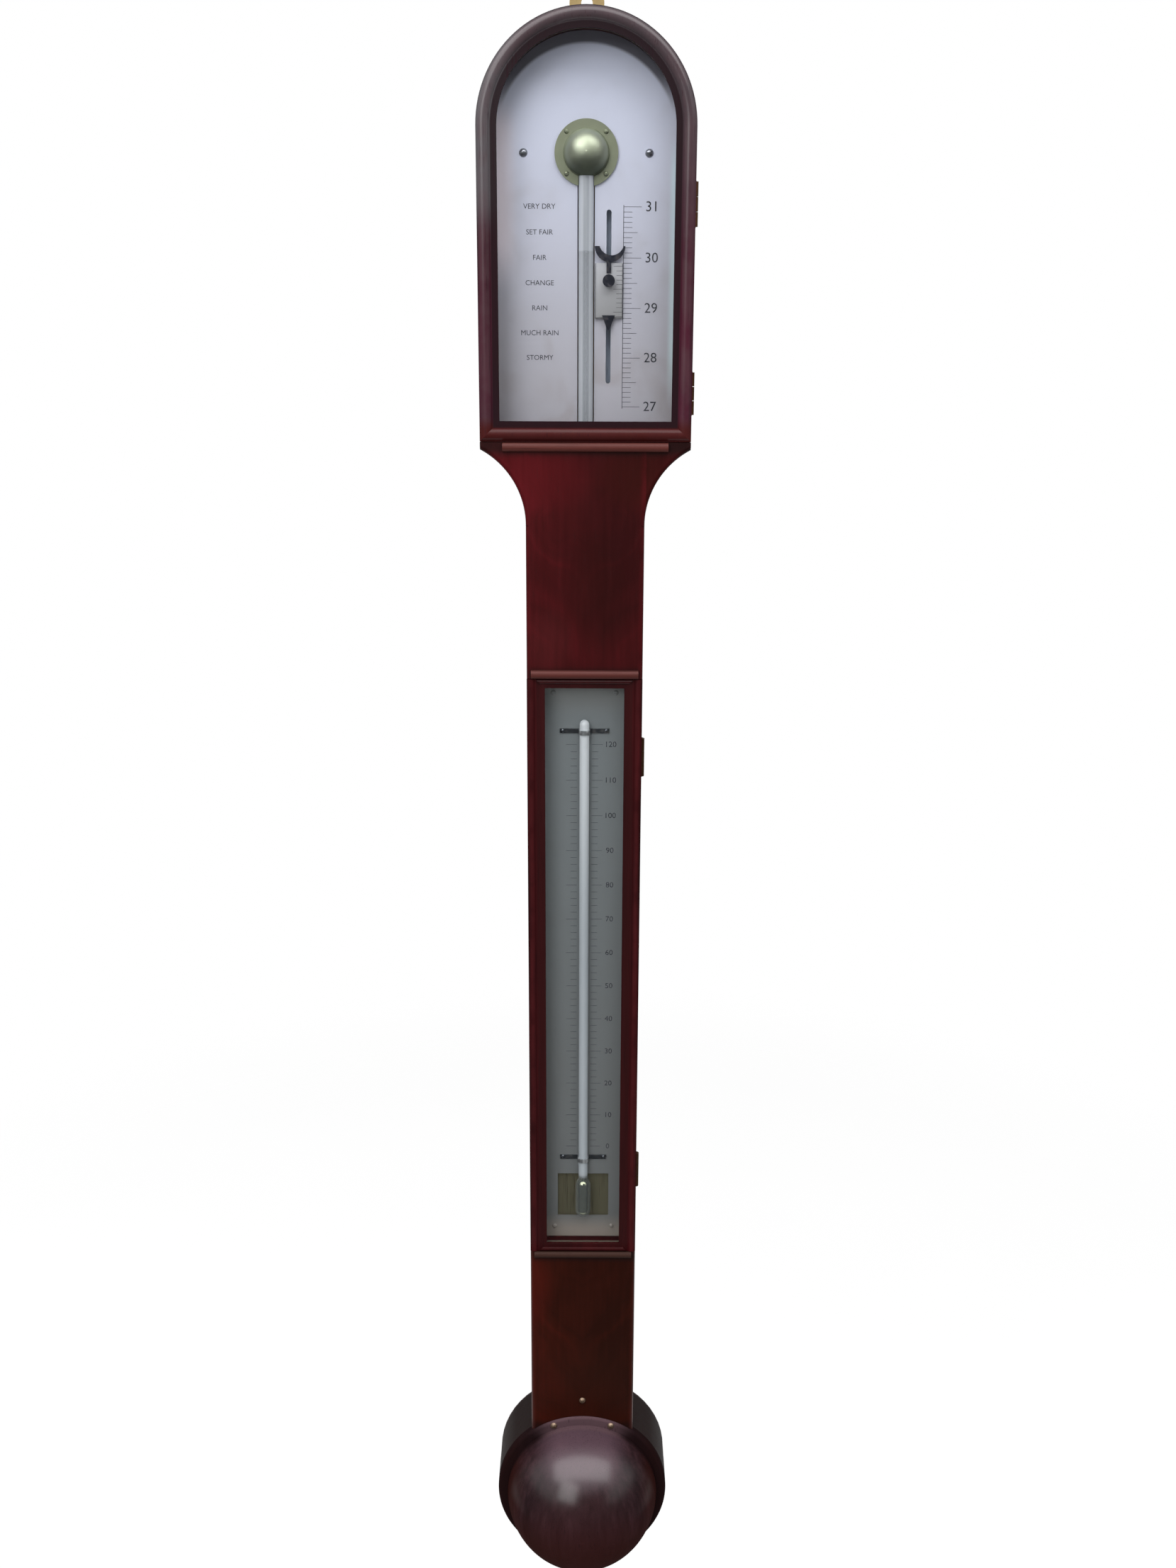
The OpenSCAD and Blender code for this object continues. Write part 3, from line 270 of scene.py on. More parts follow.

# Trunk fronts. Two panels of sawn veneer on thin ground, book-matched down the middle so that the flame of
# the figure opens to both sides. They are glued to the neck and foot blocks and polished, and are darker
# along their seams. Painted light makes the left half lighter and redder and the right half darker, and a
# painted highlight lies at the rounded edges.


def flame_veneer(name, tones, seams, patches):
    """Patches of the figure and of painted light are x and z of the middle, both half sizes, a colour and
    its share.
    """
    material, place = new_finish(name)
    dark, middle, light = tones
    foot_seam, head_seam = seams
    seam_reach = 0.006
    out = abs(place.x)
    height = place.z
    # The right half is painted darker than the left, as painted light where the halves take it differently.
    side = place.x.ease(-0.03, 0.03)
    folded = place.node("ShaderNodeCombineXYZ", {}, {"X": out, "Y": place.y, "Z": height})
    drift = folded.noise(22, 2)
    band = place.node(
        "ShaderNodeTexNoise",
        {"noise_dimensions": "1D"},
        {"W": height * 30 - out * 40 + drift * 3.4, "Scale": 1.3, "Detail": 3},
    )
    streak = folded.noise(420, 4, (1, 1, 0.07))
    pore = folded.noise(1900, 2, (1, 1, 0.05)).ease(0.6, 0.74)
    tone = band * 0.24 + place.noise(13, 2) * 0.5 + streak * 0.22 - side * 0.1 + 0.09
    colour = tone.ramp((0.36, dark), (0.54, middle), (0.74, light))
    for x, z, half_wide, half_tall, over, share in patches:
        across = (place.x - x) * (1 / half_wide)
        along = (height - z) * (1 / half_tall)
        reach = across * across + along * along + drift * 1.2 - 0.6
        colour = ((1 - reach.ease(-0.4, 1.3)) * share).mix(colour, over)
    # Darker towards the seams at both ends.
    darkening = (1 - height.ease(foot_seam, foot_seam + seam_reach)) + height.ease(head_seam - seam_reach, head_seam)
    seamed_tone = (darkening * 0.7).mix((pore * 0.45).mix(colour, dark), stain(18, 7, 6))
    # The trunk's edges are rubbed and painted lighter as a highlight.
    coat(
        place,
        {
            "Base Color": (case_arris(place) * 0.55).mix(seamed_tone, light),
            "Roughness": 0.27 + streak * 0.12 + pore * 0.1 + darkening * 0.15,
            "Normal": (streak * 0.25 - pore).relief(0.22, 0.0001),
            "Specular IOR Level": 0.12,
        },
    )
    return material


dress(
    flame_veneer(
        "neck_flame",
        (stain(45, 10, 11), stain(58, 12, 14), stain(79, 16, 21)),
        (-0.3455, -0.223),
        [
            (0.007, -0.297, 0.018, 0.038, stain(36, 10, 8), 0.5),
            # These two are painted light: the left half lighter and redder, the right half darker.
            (-0.028, -0.236, 0.034, 0.024, stain(92, 13, 21), 0.4),
            (0.026, -0.238, 0.024, 0.02, stain(46, 13, 6), 0.5),
            (-0.02, -0.328, 0.014, 0.02, stain(66, 24, 25), 0.4),
        ],
    ),
    "neck_panel",
)
dress(
    flame_veneer(
        "foot_flame",
        (stain(36, 11, 5), stain(49, 14, 6), stain(66, 17, 9)),
        (-0.83, -0.7075),
        [
            # A painted highlight where the rounded left edge catches the light.
            (-0.032, -0.73, 0.016, 0.03, stain(92, 19, 12), 0.34),
            (0.008, -0.8, 0.03, 0.036, stain(36, 15, 8), 0.6),
        ],
    ),
    "foot_panel",
)

# Cross beads. Three half-round mouldings of paler straight-grained mahogany, run off with a plane and
# glued across the trunk under the hood and at both ends of the thermometer door. Their crests are painted
# lighter as a highlight and their roots darker as shade. The lowest is darker.
bead_front = -0.042
bead_back = -0.04


# A painted highlight along the bead's crest.
def bead_crest(place):
    return place.y.ease(bead_front + 0.0012, bead_front)


# Painted shade where the bead meets the trunk.
def bead_root(place):
    return place.y.ease(bead_back - 0.0007, bead_back)


def lowest_bead(place):
    return 1 - place.z.ease(-0.6, -0.5)


dress(
    mahogany(
        "bead_mahogany",
        (stain(40, 15, 13), stain(58, 22, 19), stain(79, 34, 29)),
        0.36,
        [
            (bead_crest, stain(95, 44, 38), 0.5, 0.05),
            (bead_root, stain(36, 15, 13), 0.8, 0.1),
            (lowest_bead, stain(42, 24, 15), 0.85, 0.2),
        ],
        grain=(0.045, 1, 1),
    ),
    "neck_bead",
    "upper_cross_bead",
    "lower_cross_bead",
)

# Tube cover. A thin pine board let into the back over the tube's channel and the cistern's well, left
# unpolished, and held by ten flush brass screws.


def pine(name):
    material, place = new_finish(name)
    ring = place.noise(120, 4, (1, 1, 0.03), 0.5)
    fibre = place.noise(900, 3, (1, 1, 0.05))
    darkening = place.noise(14, 4).ease(0.45, 0.75)
    colour = ring.ramp((0.35, stain(196, 160, 108)), (0.6, stain(168, 122, 74)))
    coat(
        place,
        {
            "Base Color": (darkening * 0.5).mix(colour, stain(104, 78, 52)),
            "Roughness": 0.62 + fibre * 0.2,
            "Normal": (ring + fibre * 0.4).relief(0.4, 0.0002),
            "Specular IOR Level": 0.3,
        },
    )
    return material


dress(pine("bare_pine"), "back_cover")

# Case brass. The hanging plate, hinges, bushes and screws are cast or rolled brass, filed flat and
# lacquered, and have gone brown where the lacquer wore off, the hinges most of all.


def aged_brass(name, bright, brown, rough, spread=0.75, layers=()):
    """Brass that is brown in patches, up to the spread, under its layers."""
    material, place = new_finish(name)
    patch = place.noise(110, 5, warp=0.4).ease(0.34, 0.74)
    file_mark = place.noise(2400, 2, (1, 1, 0.12))
    colour = (patch * spread).mix(bright, brown)
    rough = rough + patch * (spread * 0.3) + file_mark * 0.08
    colour, rough = lay_over(place, colour, rough, layers)
    coat(
        place,
        {
            "Base Color": colour,
            "Metallic": 1.0 - patch * 0.15,
            "Roughness": rough,
            "Normal": (file_mark + patch * 0.3).relief(0.18, 0.00006),
        },
    )
    return material


dress(
    aged_brass("case_brass", stain(192, 168, 120), stain(138, 110, 72), 0.28, 0.5),
    "hanging_plate",
    "hanging_plate_screws",
    "back_cover_screws",
    "screw_bush",
    "bush_screws",
    "portable_screw",
    "pressure_pad",
)
dress(
    aged_brass("hinge_brass", stain(100, 68, 46), stain(54, 34, 26), 0.4),
    "hinge_case_leaves",
    "hinge_pins",
    "hinge_case_screws",
    "hood_hinge_door_leaves",
    "hood_hinge_door_screws",
    "thermometer_hinge_door_leaves",
    "thermometer_hinge_door_screws",
)

# Register plate. Sheet brass cut to the arch and the slot, rubbed down and silvered with silver chloride
# paste, so it is matt and faintly blue. It is darker towards the foot, with a painted shadow along the arch
# and painted reflections, pale at the left edge and blue at the right.


def silvering(name, bright, darker_tone, half_width, foot, head, layers=()):
    """Silvered brass, darker at the edges and from its head down to its foot, under its layers."""
    material, place = new_finish(name)
    rub = place.noise(1500, 3, (1, 1, 0.03))
    bloom = place.noise(34, 5, warp=0.6)
    edge = abs(place.x).ease(half_width - 0.012, half_width)
    low = 1 - place.z.ease(foot, head)
    dimming = edge * 0.1 + bloom.ease(0.5, 0.8) * 0.2 + low * 0.7
    rough = 0.42 + rub * 0.14 + bloom * 0.08
    colour, rough = lay_over(place, dimming.mix(bright, darker_tone), rough, layers)
    coat(
        place,
        {
            "Base Color": colour,
            "Metallic": 0.06 + rub * 0.06,
            "Roughness": rough,
            "Normal": (rub + bloom * 0.3).relief(0.14, 0.00005),
        },
    )
    return material


def from_arch(place, drop):
    """Distance from the middle of an arch that springs at the drop, and from the middle line below it."""
    rise = place.math("MAXIMUM", place.z + drop, 0.0)
    return place.math("SQRT", place.x * place.x + rise * rise)


def between(height, foot, head):
    """1 between a foot and a head, each given as the two ends of its fade."""
    return height.ease(*foot) * (1 - height.ease(*head))


plate_half = 0.047
plate_arch_drop = 0.069


# A painted shadow of the arch, dark along the plate's top edge.
def arch_tarnish(place):
    return from_arch(place, plate_arch_drop).ease(0.046, 0.0482) * place.z.ease(-0.06, -0.035)


# A painted reflection, pale, at the plate's left edge.
def left_bloom(place):
    edge = 1 - place.x.ease(0.0015 - plate_half, 0.013 - plate_half)
    return edge * between(place.z, (-0.145, -0.115), (-0.065, -0.045))


# A painted reflection, blue, at the plate's right edge.
def right_bloom(place):
    edge = place.x.ease(plate_half - 0.0045, plate_half - 0.001)
    return edge * between(place.z, (-0.205, -0.17), (-0.085, -0.065))


dress(
    silvering(
        "register_silvering",
        stain(205, 209, 229),
        stain(150, 144, 146),
        plate_half,
        -0.2,
        -0.03,
        [
            (arch_tarnish, stain(58, 50, 60), 0.85, 0.1),
            (left_bloom, stain(242, 230, 240), 0.75, 0.0),
            (right_bloom, stain(206, 236, 242), 0.5, 0.0),
        ],
    ),
    "register_plate",
)

# Register scale. Lines cut with a graver and filled with black wax: tenths of an inch beside the vernier,
# longer at each half and whole inch, with one upright line along their ends.
wax, place = new_finish("black_wax")
crumb = place.noise(900, 4)
coat(
    place,
    {
        "Base Color": crumb.ease(0.35, 0.7).mix(stain(38, 38, 44), stain(78, 78, 84)),
        "Roughness": 0.5 + crumb * 0.3,
        "Normal": crumb.relief(0.3, 0.00003),
        "Specular IOR Level": 0.25,
    },
)

wax_deep = 0.00008
crown_in = 0.00004
crown_up = 0.00002


def cut_lines(name, body, face, strokes):
    """Strokes as x and z of both corners, filled flush with a face and crowned a little."""
    bpy.ops.object.select_all(action="DESELECT")
    for number, (x0, z0, x1, z1) in enumerate(strokes):
        bpy.ops.mesh.primitive_cube_add(
            size=1,
            location=((x0 + x1) / 2, face, (z0 + z1) / 2),
            scale=(x1 - x0, wax_deep, z1 - z0),
        )
        if number == 0:
            bpy.ops.object.transform_apply(location=True, rotation=True, scale=True)
            bpy.ops.object.mode_set(mode="EDIT")
    bpy.ops.mesh.select_mode(type="FACE")
    bpy.ops.object.mode_set(mode="OBJECT")
    lines = bpy.context.object
    lines.name = lines.data.name = name
    for side in lines.data.polygons:
        side.select = side.normal.y < -0.9
    bpy.ops.object.mode_set(mode="EDIT")
    bpy.ops.mesh.inset(thickness=crown_in, depth=crown_up, use_individual=True)
    bpy.ops.object.mode_set(mode="OBJECT")
    lines.data.materials.append(wax)
    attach(lines, body)


inch = 0.0254
low_inch, high_inch = 27, 31
level_z = -0.888
plate_face = -0.0196
scale_x = 0.0198
line_half = 0.00011
tenth_reach, half_reach, inch_reach = 0.0044, 0.0072, 0.0092
upright_wide = 0.0003
upright_over = 0.0008
strokes = []
for tenth in range((high_inch - low_inch) * 10 + 1):
    z = level_z + (low_inch + tenth / 10) * inch
    reach = inch_reach if tenth % 10 == 0 else half_reach if tenth % 5 == 0 else tenth_reach
    strokes.append((scale_x, z - line_half, scale_x + reach, z + line_half))
scale_foot = strokes[0][1] - upright_over
scale_head = strokes[-1][3] + upright_over
strokes.append((scale_x - upright_wide, scale_foot, scale_x, scale_head))
cut_lines("scale_lines", "case", plate_face, strokes)

# Register figures. Cut figures beside each inch, and the weather against the half inches, both filled with
# the same wax. Nothing else is written on the plate.


def cut_figures(name, body, face, size, labels):
    """Labels as words with the x and z of their middles."""
    made = []
    for words, x, z in labels:
        bpy.ops.object.select_all(action="DESELECT")
        bpy.ops.object.text_add(location=(0, 0, 0))
        text = bpy.context.object
        text.data.body = words
        text.data.size = size
        text.data.extrude = wax_deep / 2
        text.data.resolution_u = 3
        text.data.align_x = "CENTER"
        text.data.align_y = "CENTER"
        bpy.ops.object.convert(target="MESH")
        figure = bpy.context.object
        figure.rotation_euler = (math.pi / 2, 0, 0)
        figure.location = (x, face, z)
        bpy.ops.object.transform_apply(location=True, rotation=True, scale=True)
        made.append(figure)
    bpy.ops.object.select_all(action="DESELECT")
    for figure in made:
        figure.select_set(True)
    bpy.context.view_layer.objects.active = made[0]
    bpy.ops.object.join()
    figures = bpy.context.object
    figures.name = figures.data.name = name
    bpy.ops.object.mode_set(mode="EDIT")
    bpy.ops.mesh.select_all(action="SELECT")
    bpy.ops.mesh.remove_doubles(threshold=0.000001)
    bpy.ops.object.mode_set(mode="OBJECT")
    figures.data.materials.append(wax)
    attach(figures, body)


figure_x = 0.0345
figure_size = 0.0072
cut_figures(
    "scale_figures",
    "case",
    plate_face,
    figure_size,
    [(str(count), figure_x, level_z + count * inch) for count in range(low_inch, high_inch + 1)],
)
weather = ["STORMY", "MUCH RAIN", "RAIN", "CHANGE", "FAIR", "SET FAIR", "VERY DRY"]
weather_x = -0.0245
weather_size = 0.0037
stormy_inch = 28
cut_figures(
    "weather_words",
    "case",
    plate_face,
    weather_size,
    [(words, weather_x, level_z + (stormy_inch + row / 2) * inch) for row, words in enumerate(weather)],
)

# Blued pieces. The plate's screws, the vernier's finger, knob and spring, and the thermometer's straps are
# steel, polished and then heated until the skin turned blue black. It has worn grey on the screws, and a
# painted highlight makes the straps bright where they bow over the glass.


def blued(name, skin, rust, layers=()):
    material, place = new_finish(name)
    patch = place.noise(380, 4).ease(0.45, 0.7)
    colour, rough = lay_over(place, (patch * 0.6).mix(skin, rust), 0.28 + patch * 0.25, layers)
    coat(
        place,
        {
            "Base Color": colour,
            "Metallic": 0.9 - patch * 0.3,
            "Roughness": rough,
            "Normal": place.noise(1600, 3).relief(0.15, 0.00005),
        },
    )
    return material


# A painted highlight where the strap bows over the glass.
def strap_crown(place):
    return 1 - abs(place.x).ease(0.0026, 0.0036)


dress(blued("screw_steel", stain(150, 152, 160), stain(112, 110, 112)), "register_screws")
dress(
    blued("blued_steel", stain(70, 72, 84), stain(66, 58, 54)),
    "vernier_pointer",
    "vernier_knob",
    "vernier_spring",
)
dress(
    blued(
        "strap_steel",
        stain(96, 100, 106),
        stain(84, 80, 76),
        [(strap_crown, stain(216, 220, 224), 0.9, 0.0)],
    ),
    "thermometer_straps",
    "strap_pins",
)

# Boss. A dome of brass turned and polished, soldered on a flange, that hides the sealed end of the tube.
# It is screwed on through the plate by four small screws, and its underside is painted dull dark green as
# shade.
boss_root = -0.0226
boss_flange_face = -0.0212
boss_shade_z = -0.08


def boss_flange(place):
    return place.y.ease(boss_root, boss_flange_face)


# The boss's underside, painted darker as shade.
def boss_under(place):
    low = 1 - place.z.ease(boss_shade_z - 0.004, boss_shade_z + 0.004)
    return low * place.y.ease(boss_root + 0.0004, boss_root - 0.0006)


dress(
    aged_brass(
        "polished_brass",
        stain(184, 190, 170),
        stain(144, 150, 122),
        0.42,
        0.3,
        [(boss_flange, stain(126, 130, 108), 0.7, 0.06), (boss_under, stain(62, 70, 50), 0.75, 0.06)],
    ),
    "tube_boss",
    "boss_screws",
)

# Tube. Drawn glass sealed at the top and open below, with mercury boiled into it, so the clear part over
# the column shows its bore as two lines. Corks hold it in the channel.


def see_through(place, share, tint, body):
    """Lets the light pass by its tint, apart from the share that the body of the glass takes."""
    through = place.node("ShaderNodeBsdfTransparent", {}, {"Color": tint})
    solid = place.node("ShaderNodeBsdfPrincipled", {}, body)
    surface = place.node("ShaderNodeMixShader", {}, {0: share, 1: through, 2: solid})
    place.node("ShaderNodeOutputMaterial", {}, {"Surface": surface})


bore_r = 0.0018
mercury_top = -0.1227
tube_glass, place = new_finish("tube_glass")
haze = place.noise(30, 3, (1, 1, 0.3))
wall = abs(place.x).ease(bore_r / 2, bore_r + 0.0004)
empty = place.z.ease(mercury_top - 0.0005, mercury_top + 0.0005)
see_through(
    place,
    0.3 + wall * 0.4 + empty * 0.2 + haze * 0.1,
    (0.97, 0.98, 0.98, 1),
    {
        "Base Color": haze.mix(stain(186, 190, 198), stain(206, 210, 218)),
        "Roughness": 0.06 + haze * 0.06,
    },
)
dress(tube_glass, "barometer_tube")


def quicksilver(name, dark, light):
    material, place = new_finish(name)
    skin = place.noise(60, 3)
    coat(
        place,
        {
            "Base Color": skin.mix(dark, light),
            "Metallic": 1.0,
            "Roughness": 0.05 + skin * 0.08,
            "Normal": skin.relief(0.04, 0.00005),
        },
    )
    return material


dress(
    quicksilver("mercury", stain(150, 152, 158), stain(196, 198, 204)),
    "mercury_column",
    "mercury_pool",
)

cork, place = new_finish("bark_cork")
grit = place.noise(620, 5)
pit = place.noise(300, 2).ease(0.6, 0.7)
bark = grit.mix(stain(176, 128, 82), stain(204, 160, 112))
coat(
    place,
    {
        "Base Color": pit.mix(bark, stain(96, 62, 36)),
        "Roughness": 0.8 + grit * 0.15,
        "Normal": (grit - pit).relief(0.6, 0.0004),
        "Specular IOR Level": 0.2,
    },
)
dress(cork, "tube_corks")

# Cistern. A boxwood cup and lid turned on the lathe and glued, standing in the well of the foot block. The
# mercury stands in it out of sight, up to the level that the inches are counted from, and is pressed up
# as the screw climbs.


def boxwood(name):
    material, place = new_finish(name)
    turned = place.noise(90, 4, (0.4, 0.4, 6))
    fibre = place.noise(1100, 3, (1, 1, 0.1))
    coat(
        place,
        {
            "Base Color": turned.mix(stain(178, 134, 66), stain(212, 172, 100)),
            "Roughness": 0.4 + fibre * 0.2,
            "Normal": (turned + fibre * 0.4).relief(0.25, 0.0001),
        },
    )
    return material


dress(boxwood("boxwood"), "cistern_body", "cistern_lid")
well_y = -0.0196
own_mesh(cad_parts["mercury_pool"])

# Cistern bag. A round of kid leather gathered over the open foot of the cup, so that the screw lifts the
# mercury by pushing on it. Its edge stands out in pleats above the thread that ties it on.
leather, place = new_finish("kid_leather")
crease = place.noise(500, 6)
coat(
    place,
    {
        "Base Color": crease.mix(stain(150, 118, 84), stain(206, 178, 138)),
        "Roughness": 0.62 + crease * 0.2,
        "Normal": crease.relief(0.5, 0.0003),
        "Specular IOR Level": 0.3,
    },
)

bag_r = 0.0157
bag_wall = 0.00115
bag_head = -0.896
bag_rings = [  # radius, height and depth of the pleats, from the edge down to the middle of the sag
    (bag_r, bag_head, 0.0009),
    (bag_r, -0.8972, 0.0006),
    (bag_r, -0.8986, 0.0),
    (bag_r, -0.9038, 0.0),
    (bag_r, -0.9048, 0.0002),
    (bag_r, -0.9060, 0.0004),
    (0.0150, -0.9072, 0.0004),
    (0.0136, -0.9083, 0.0003),
    (0.0116, -0.9096, 0.0002),
    (0.0086, -0.9110, 0.0),
    (0.0048, -0.9118, 0.0),
    (0.0016, -0.9121, 0.0),
]
pleats = 26
pleat_drift, drift_waves = 1.6, 3
pleat_pinch = 1.4
bpy.ops.object.select_all(action="DESELECT")
bpy.ops.mesh.primitive_circle_add(vertices=4 * pleats, radius=bag_r, location=(0, well_y, bag_head))
bpy.ops.object.transform_apply(location=True, rotation=True, scale=True)
bag = bpy.context.object
bag.name = bag.data.name = "leather_bag"
bpy.ops.object.mode_set(mode="EDIT")
bpy.ops.mesh.select_mode(type="VERT")
bpy.ops.mesh.select_all(action="SELECT")
for (wide, high, _), (radius, height, _) in zip(bag_rings, bag_rings[1:]):
    bpy.ops.mesh.extrude_region_move(TRANSFORM_OT_translate={"value": (0, 0, height - high)})
    bpy.ops.transform.resize(
        value=(radius / wide, radius / wide, 1), center_override=(0, well_y, height)
    )
bpy.ops.mesh.merge(type="CENTER")
bpy.ops.mesh.select_all(action="SELECT")
bpy.ops.mesh.normals_make_consistent(inside=False)
bpy.ops.object.mode_set(mode="OBJECT")
bag_middle = Vector((0, well_y, -0.9))
pleat_at = {round(height, 5): depth for _, height, depth in bag_rings}
for point in bag.data.vertices:
    out = point.co - bag_middle
    turn = math.atan2(out.y, out.x)
    fold = 0.5 + 0.5 * math.cos(pleats * turn + pleat_drift * math.sin(drift_waves * turn))
    point.co += out.normalized() * pleat_at.get(round(point.co.z, 5), 0.0) * fold**pleat_pinch
bpy.ops.object.modifier_add(type="SOLIDIFY")
bag.modifiers[-1].thickness = bag_wall
bag.modifiers[-1].offset = -1
bpy.ops.object.modifier_apply(modifier=bag.modifiers[-1].name)
bpy.ops.object.modifier_add(type="SUBSURF")
bag.modifiers[-1].levels = bag.modifiers[-1].render_levels = 1
bpy.ops.object.modifier_apply(modifier=bag.modifiers[-1].name)
bpy.ops.object.shade_smooth()
bag.data.materials.append(leather)
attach(bag, "case")
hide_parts("cistern_leather")
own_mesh(bag)

# Bag binding. Waxed linen thread wound hard round the neck of the bag, each turn against the last, with
# its ends drawn under the turns.
thread, place = new_finish("waxed_thread")
lay = place.noise(2600, 2, (1, 1, 3))
coat(
    place,
    {
        "Base Color": lay.mix(stain(92, 66, 40), stain(150, 118, 78)),
        "Roughness": 0.55 + lay * 0.2,
        "Normal": lay.relief(0.6, 0.0002),
    },
)

thread_r = 0.00058
thread_pitch = 0.0012
thread_foot = -0.903
thread_turns = 3
thread_sides, turn_steps = 12, 72
bpy.ops.object.select_all(action="DESELECT")
bpy.ops.mesh.primitive_circle_add(
    vertices=thread_sides,
    radius=thread_r,
    location=(0, well_y, thread_foot),
    rotation=(math.pi / 2, 0, 0),
)
bpy.ops.object.transform_apply(location=False, rotation=True, scale=True)
binding = bpy.context.object
binding.name = binding.data.name = "wound_thread"
bpy.ops.object.mode_set(mode="EDIT")
bpy.ops.mesh.select_all(action="SELECT")
bpy.ops.transform.translate(value=(bag_r + thread_pitch / 2, 0, 0))
bpy.ops.object.mode_set(mode="OBJECT")
bpy.ops.object.modifier_add(type="SCREW")
winding = binding.modifiers[-1]
winding.axis = "Z"
winding.iterations = thread_turns
winding.screw_offset = thread_pitch
winding.steps = winding.render_steps = turn_steps
bpy.ops.object.modifier_apply(modifier=winding.name)
bpy.ops.object.transform_apply(location=True, rotation=True, scale=True)
bpy.ops.object.mode_set(mode="EDIT")
bpy.ops.mesh.select_all(action="SELECT")
bpy.ops.mesh.fill_holes(sides=0)
bpy.ops.mesh.select_all(action="SELECT")
bpy.ops.mesh.normals_make_consistent(inside=False)
bpy.ops.object.mode_set(mode="OBJECT")
bpy.ops.object.shade_smooth()
binding.data.materials.append(thread)
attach(binding, "case")
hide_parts("leather_binding")
bag_cut = 0.052
math.pi * bag_cut**2 / 4

# Vernier. A silvered brass plate that slides in the slot on a brass guide, held by a bow spring behind, so
# that its finger is set to the top of the mercury. Eleven parts to the inch are cut along its right edge,
# inside a fine border.
vernier_face = -0.0213
vernier_left = 0.0049
vernier_right = 0.0191
vernier_foot = -0.1564
vernier_head = -0.1288
vernier_zero = -0.1302
part_step = 0.00231
part_half = 0.00009
part_reach, long_part_reach = 0.003, 0.0046
border = 0.0003
dress(
    silvering("vernier_silvering", stain(176, 176, 182), stain(120, 120, 120), 0.0194, -0.16, -0.13),
    "vernier_plate",
)
dress(aged_brass("slide_brass", stain(190, 160, 100), stain(120, 90, 54), 0.34), "vernier_guide")
parts = []
for part in range(12):
    z = vernier_zero - part * part_step
    reach = long_part_reach if part % 5 == 0 else part_reach
    parts.append((vernier_right - reach, z - part_half, vernier_right, z + part_half))
parts += [
    (vernier_left, vernier_foot, vernier_left + border, vernier_head),
    (vernier_right, vernier_foot, vernier_right + 0.0002, vernier_head),
    (vernier_left + border, vernier_foot, vernier_right, vernier_foot + border),
]
cut_lines("vernier_lines", "vernier", vernier_face, parts)

# Thermometer. A grey silvered plate screwed over the hollow of the trunk, painted paler at both ends as
# painted light, with the glass held on it by two blued straps and its bulb free in a cut-out. The stem is
# backed with opal glass.
thermo_foot = -0.70
thermo_head = -0.35
thermo_plate_half = 0.023


# Painted light that makes the plate's foot paler.
def plate_foot(place):
    return 1 - place.z.ease(thermo_foot, thermo_foot + 0.016)


# Painted light that makes the plate's head paler.
def plate_head(place):
    return place.z.ease(thermo_head - 0.024, thermo_head - 0.006)


dress(
    silvering(
        "thermometer_silvering",
        stain(116, 122, 125),
        stain(104, 105, 105),
        thermo_plate_half,
        thermo_foot,
        thermo_head,
        [(plate_foot, stain(158, 146, 136), 0.7, 0.1), (plate_head, stain(140, 141, 140), 0.7, 0.1)],
    ),
    "thermometer_plate",
    "thermometer_plate_screws",
)
dress(
    quicksilver("thermometer_mercury", stain(188, 187, 166), stain(216, 214, 194)),
    "thermometer_thread",
)


def glancing(place):
    """Rises towards the edge of a rounded glass, as its reflection does."""
    facing = place.node("ShaderNodeLayerWeight", {}, {"Blend": 0.5}, "Facing")
    return place.math("POWER", facing, 5.0)


stem_y = -0.03045
stem_foot = -0.66
stem_glass, place = new_finish("thermometer_glass_tube")
stem = place.z.ease(stem_foot, stem_foot + 0.004)
back = place.y.ease(stem_y - 0.0006, stem_y + 0.0006)
ripple = place.noise(90, 3, (1, 1, 0.1))
low_opal = ripple.mix(stain(172, 179, 186), stain(194, 200, 207))
high_opal = ripple.mix(stain(208, 214, 221), stain(228, 232, 237))
see_through(
    place,
    0.06 + stem * (0.68 + back * 0.26) + glancing(place),
    (0.95, 0.97, 0.93, 1),
    {
        "Base Color": place.z.ease(-0.52, -0.38).mix(low_opal, high_opal),
        "Roughness": 0.1 + ripple * 0.1,
    },
)
dress(stem_glass, "thermometer_tube")

degree = 0.0021
top_degree = 120
zero_z = -0.64
thermo_face = -0.0276
mark_x = 0.0042
mark_half = 0.00009
mark_reach, ten_reach = 0.0036, 0.0062
marks = []
for count in range(0, top_degree + 1, 2):
    z = zero_z + count * degree
    reach = ten_reach if count % 10 == 0 else mark_reach
    marks.append((mark_x, z - mark_half, mark_x + reach, z + mark_half))
    marks.append((-mark_x - reach, z - mark_half, -mark_x, z + mark_half))
cut_lines("thermometer_lines", "case", thermo_face, marks)
degree_x = 0.0148
degree_size = 0.0046
cut_figures(
    "thermometer_figures",
    "case",
    thermo_face,
    degree_size,
    [(str(count), degree_x, zero_z + count * degree) for count in range(0, top_degree + 1, 10)],
)

# Hood door. Mahogany mouldings mitred at the foot and bent round the arch, with a bold bead outside and a
# rebate behind for the pane, which is bedded in putty. A grey reflection is painted round the arch, with a
# painted highlight at the left shoulder; the bead's crest is rubbed and painted lighter as a highlight, and
# the inner wall of the frame is painted dark as shade.
door_front = -0.0412
hood_foot = -0.214
hood_arch_drop = 0.064


# The bead's crest, rubbed in patches and painted lighter as a highlight.
def door_crest(place):
    return place.y.ease(door_front + 0.0017, door_front) * place.noise(70, 3).ease(0.25, 0.6)


# A painted grey reflection round the arch.
def hood_arch(place):
    return place.z.ease(-0.15, -0.03)


# A painted highlight on the arch's left shoulder.
def left_shoulder(place):
    return (1 - place.x.ease(-0.046, -0.03)) * place.z.ease(-0.118, -0.095)


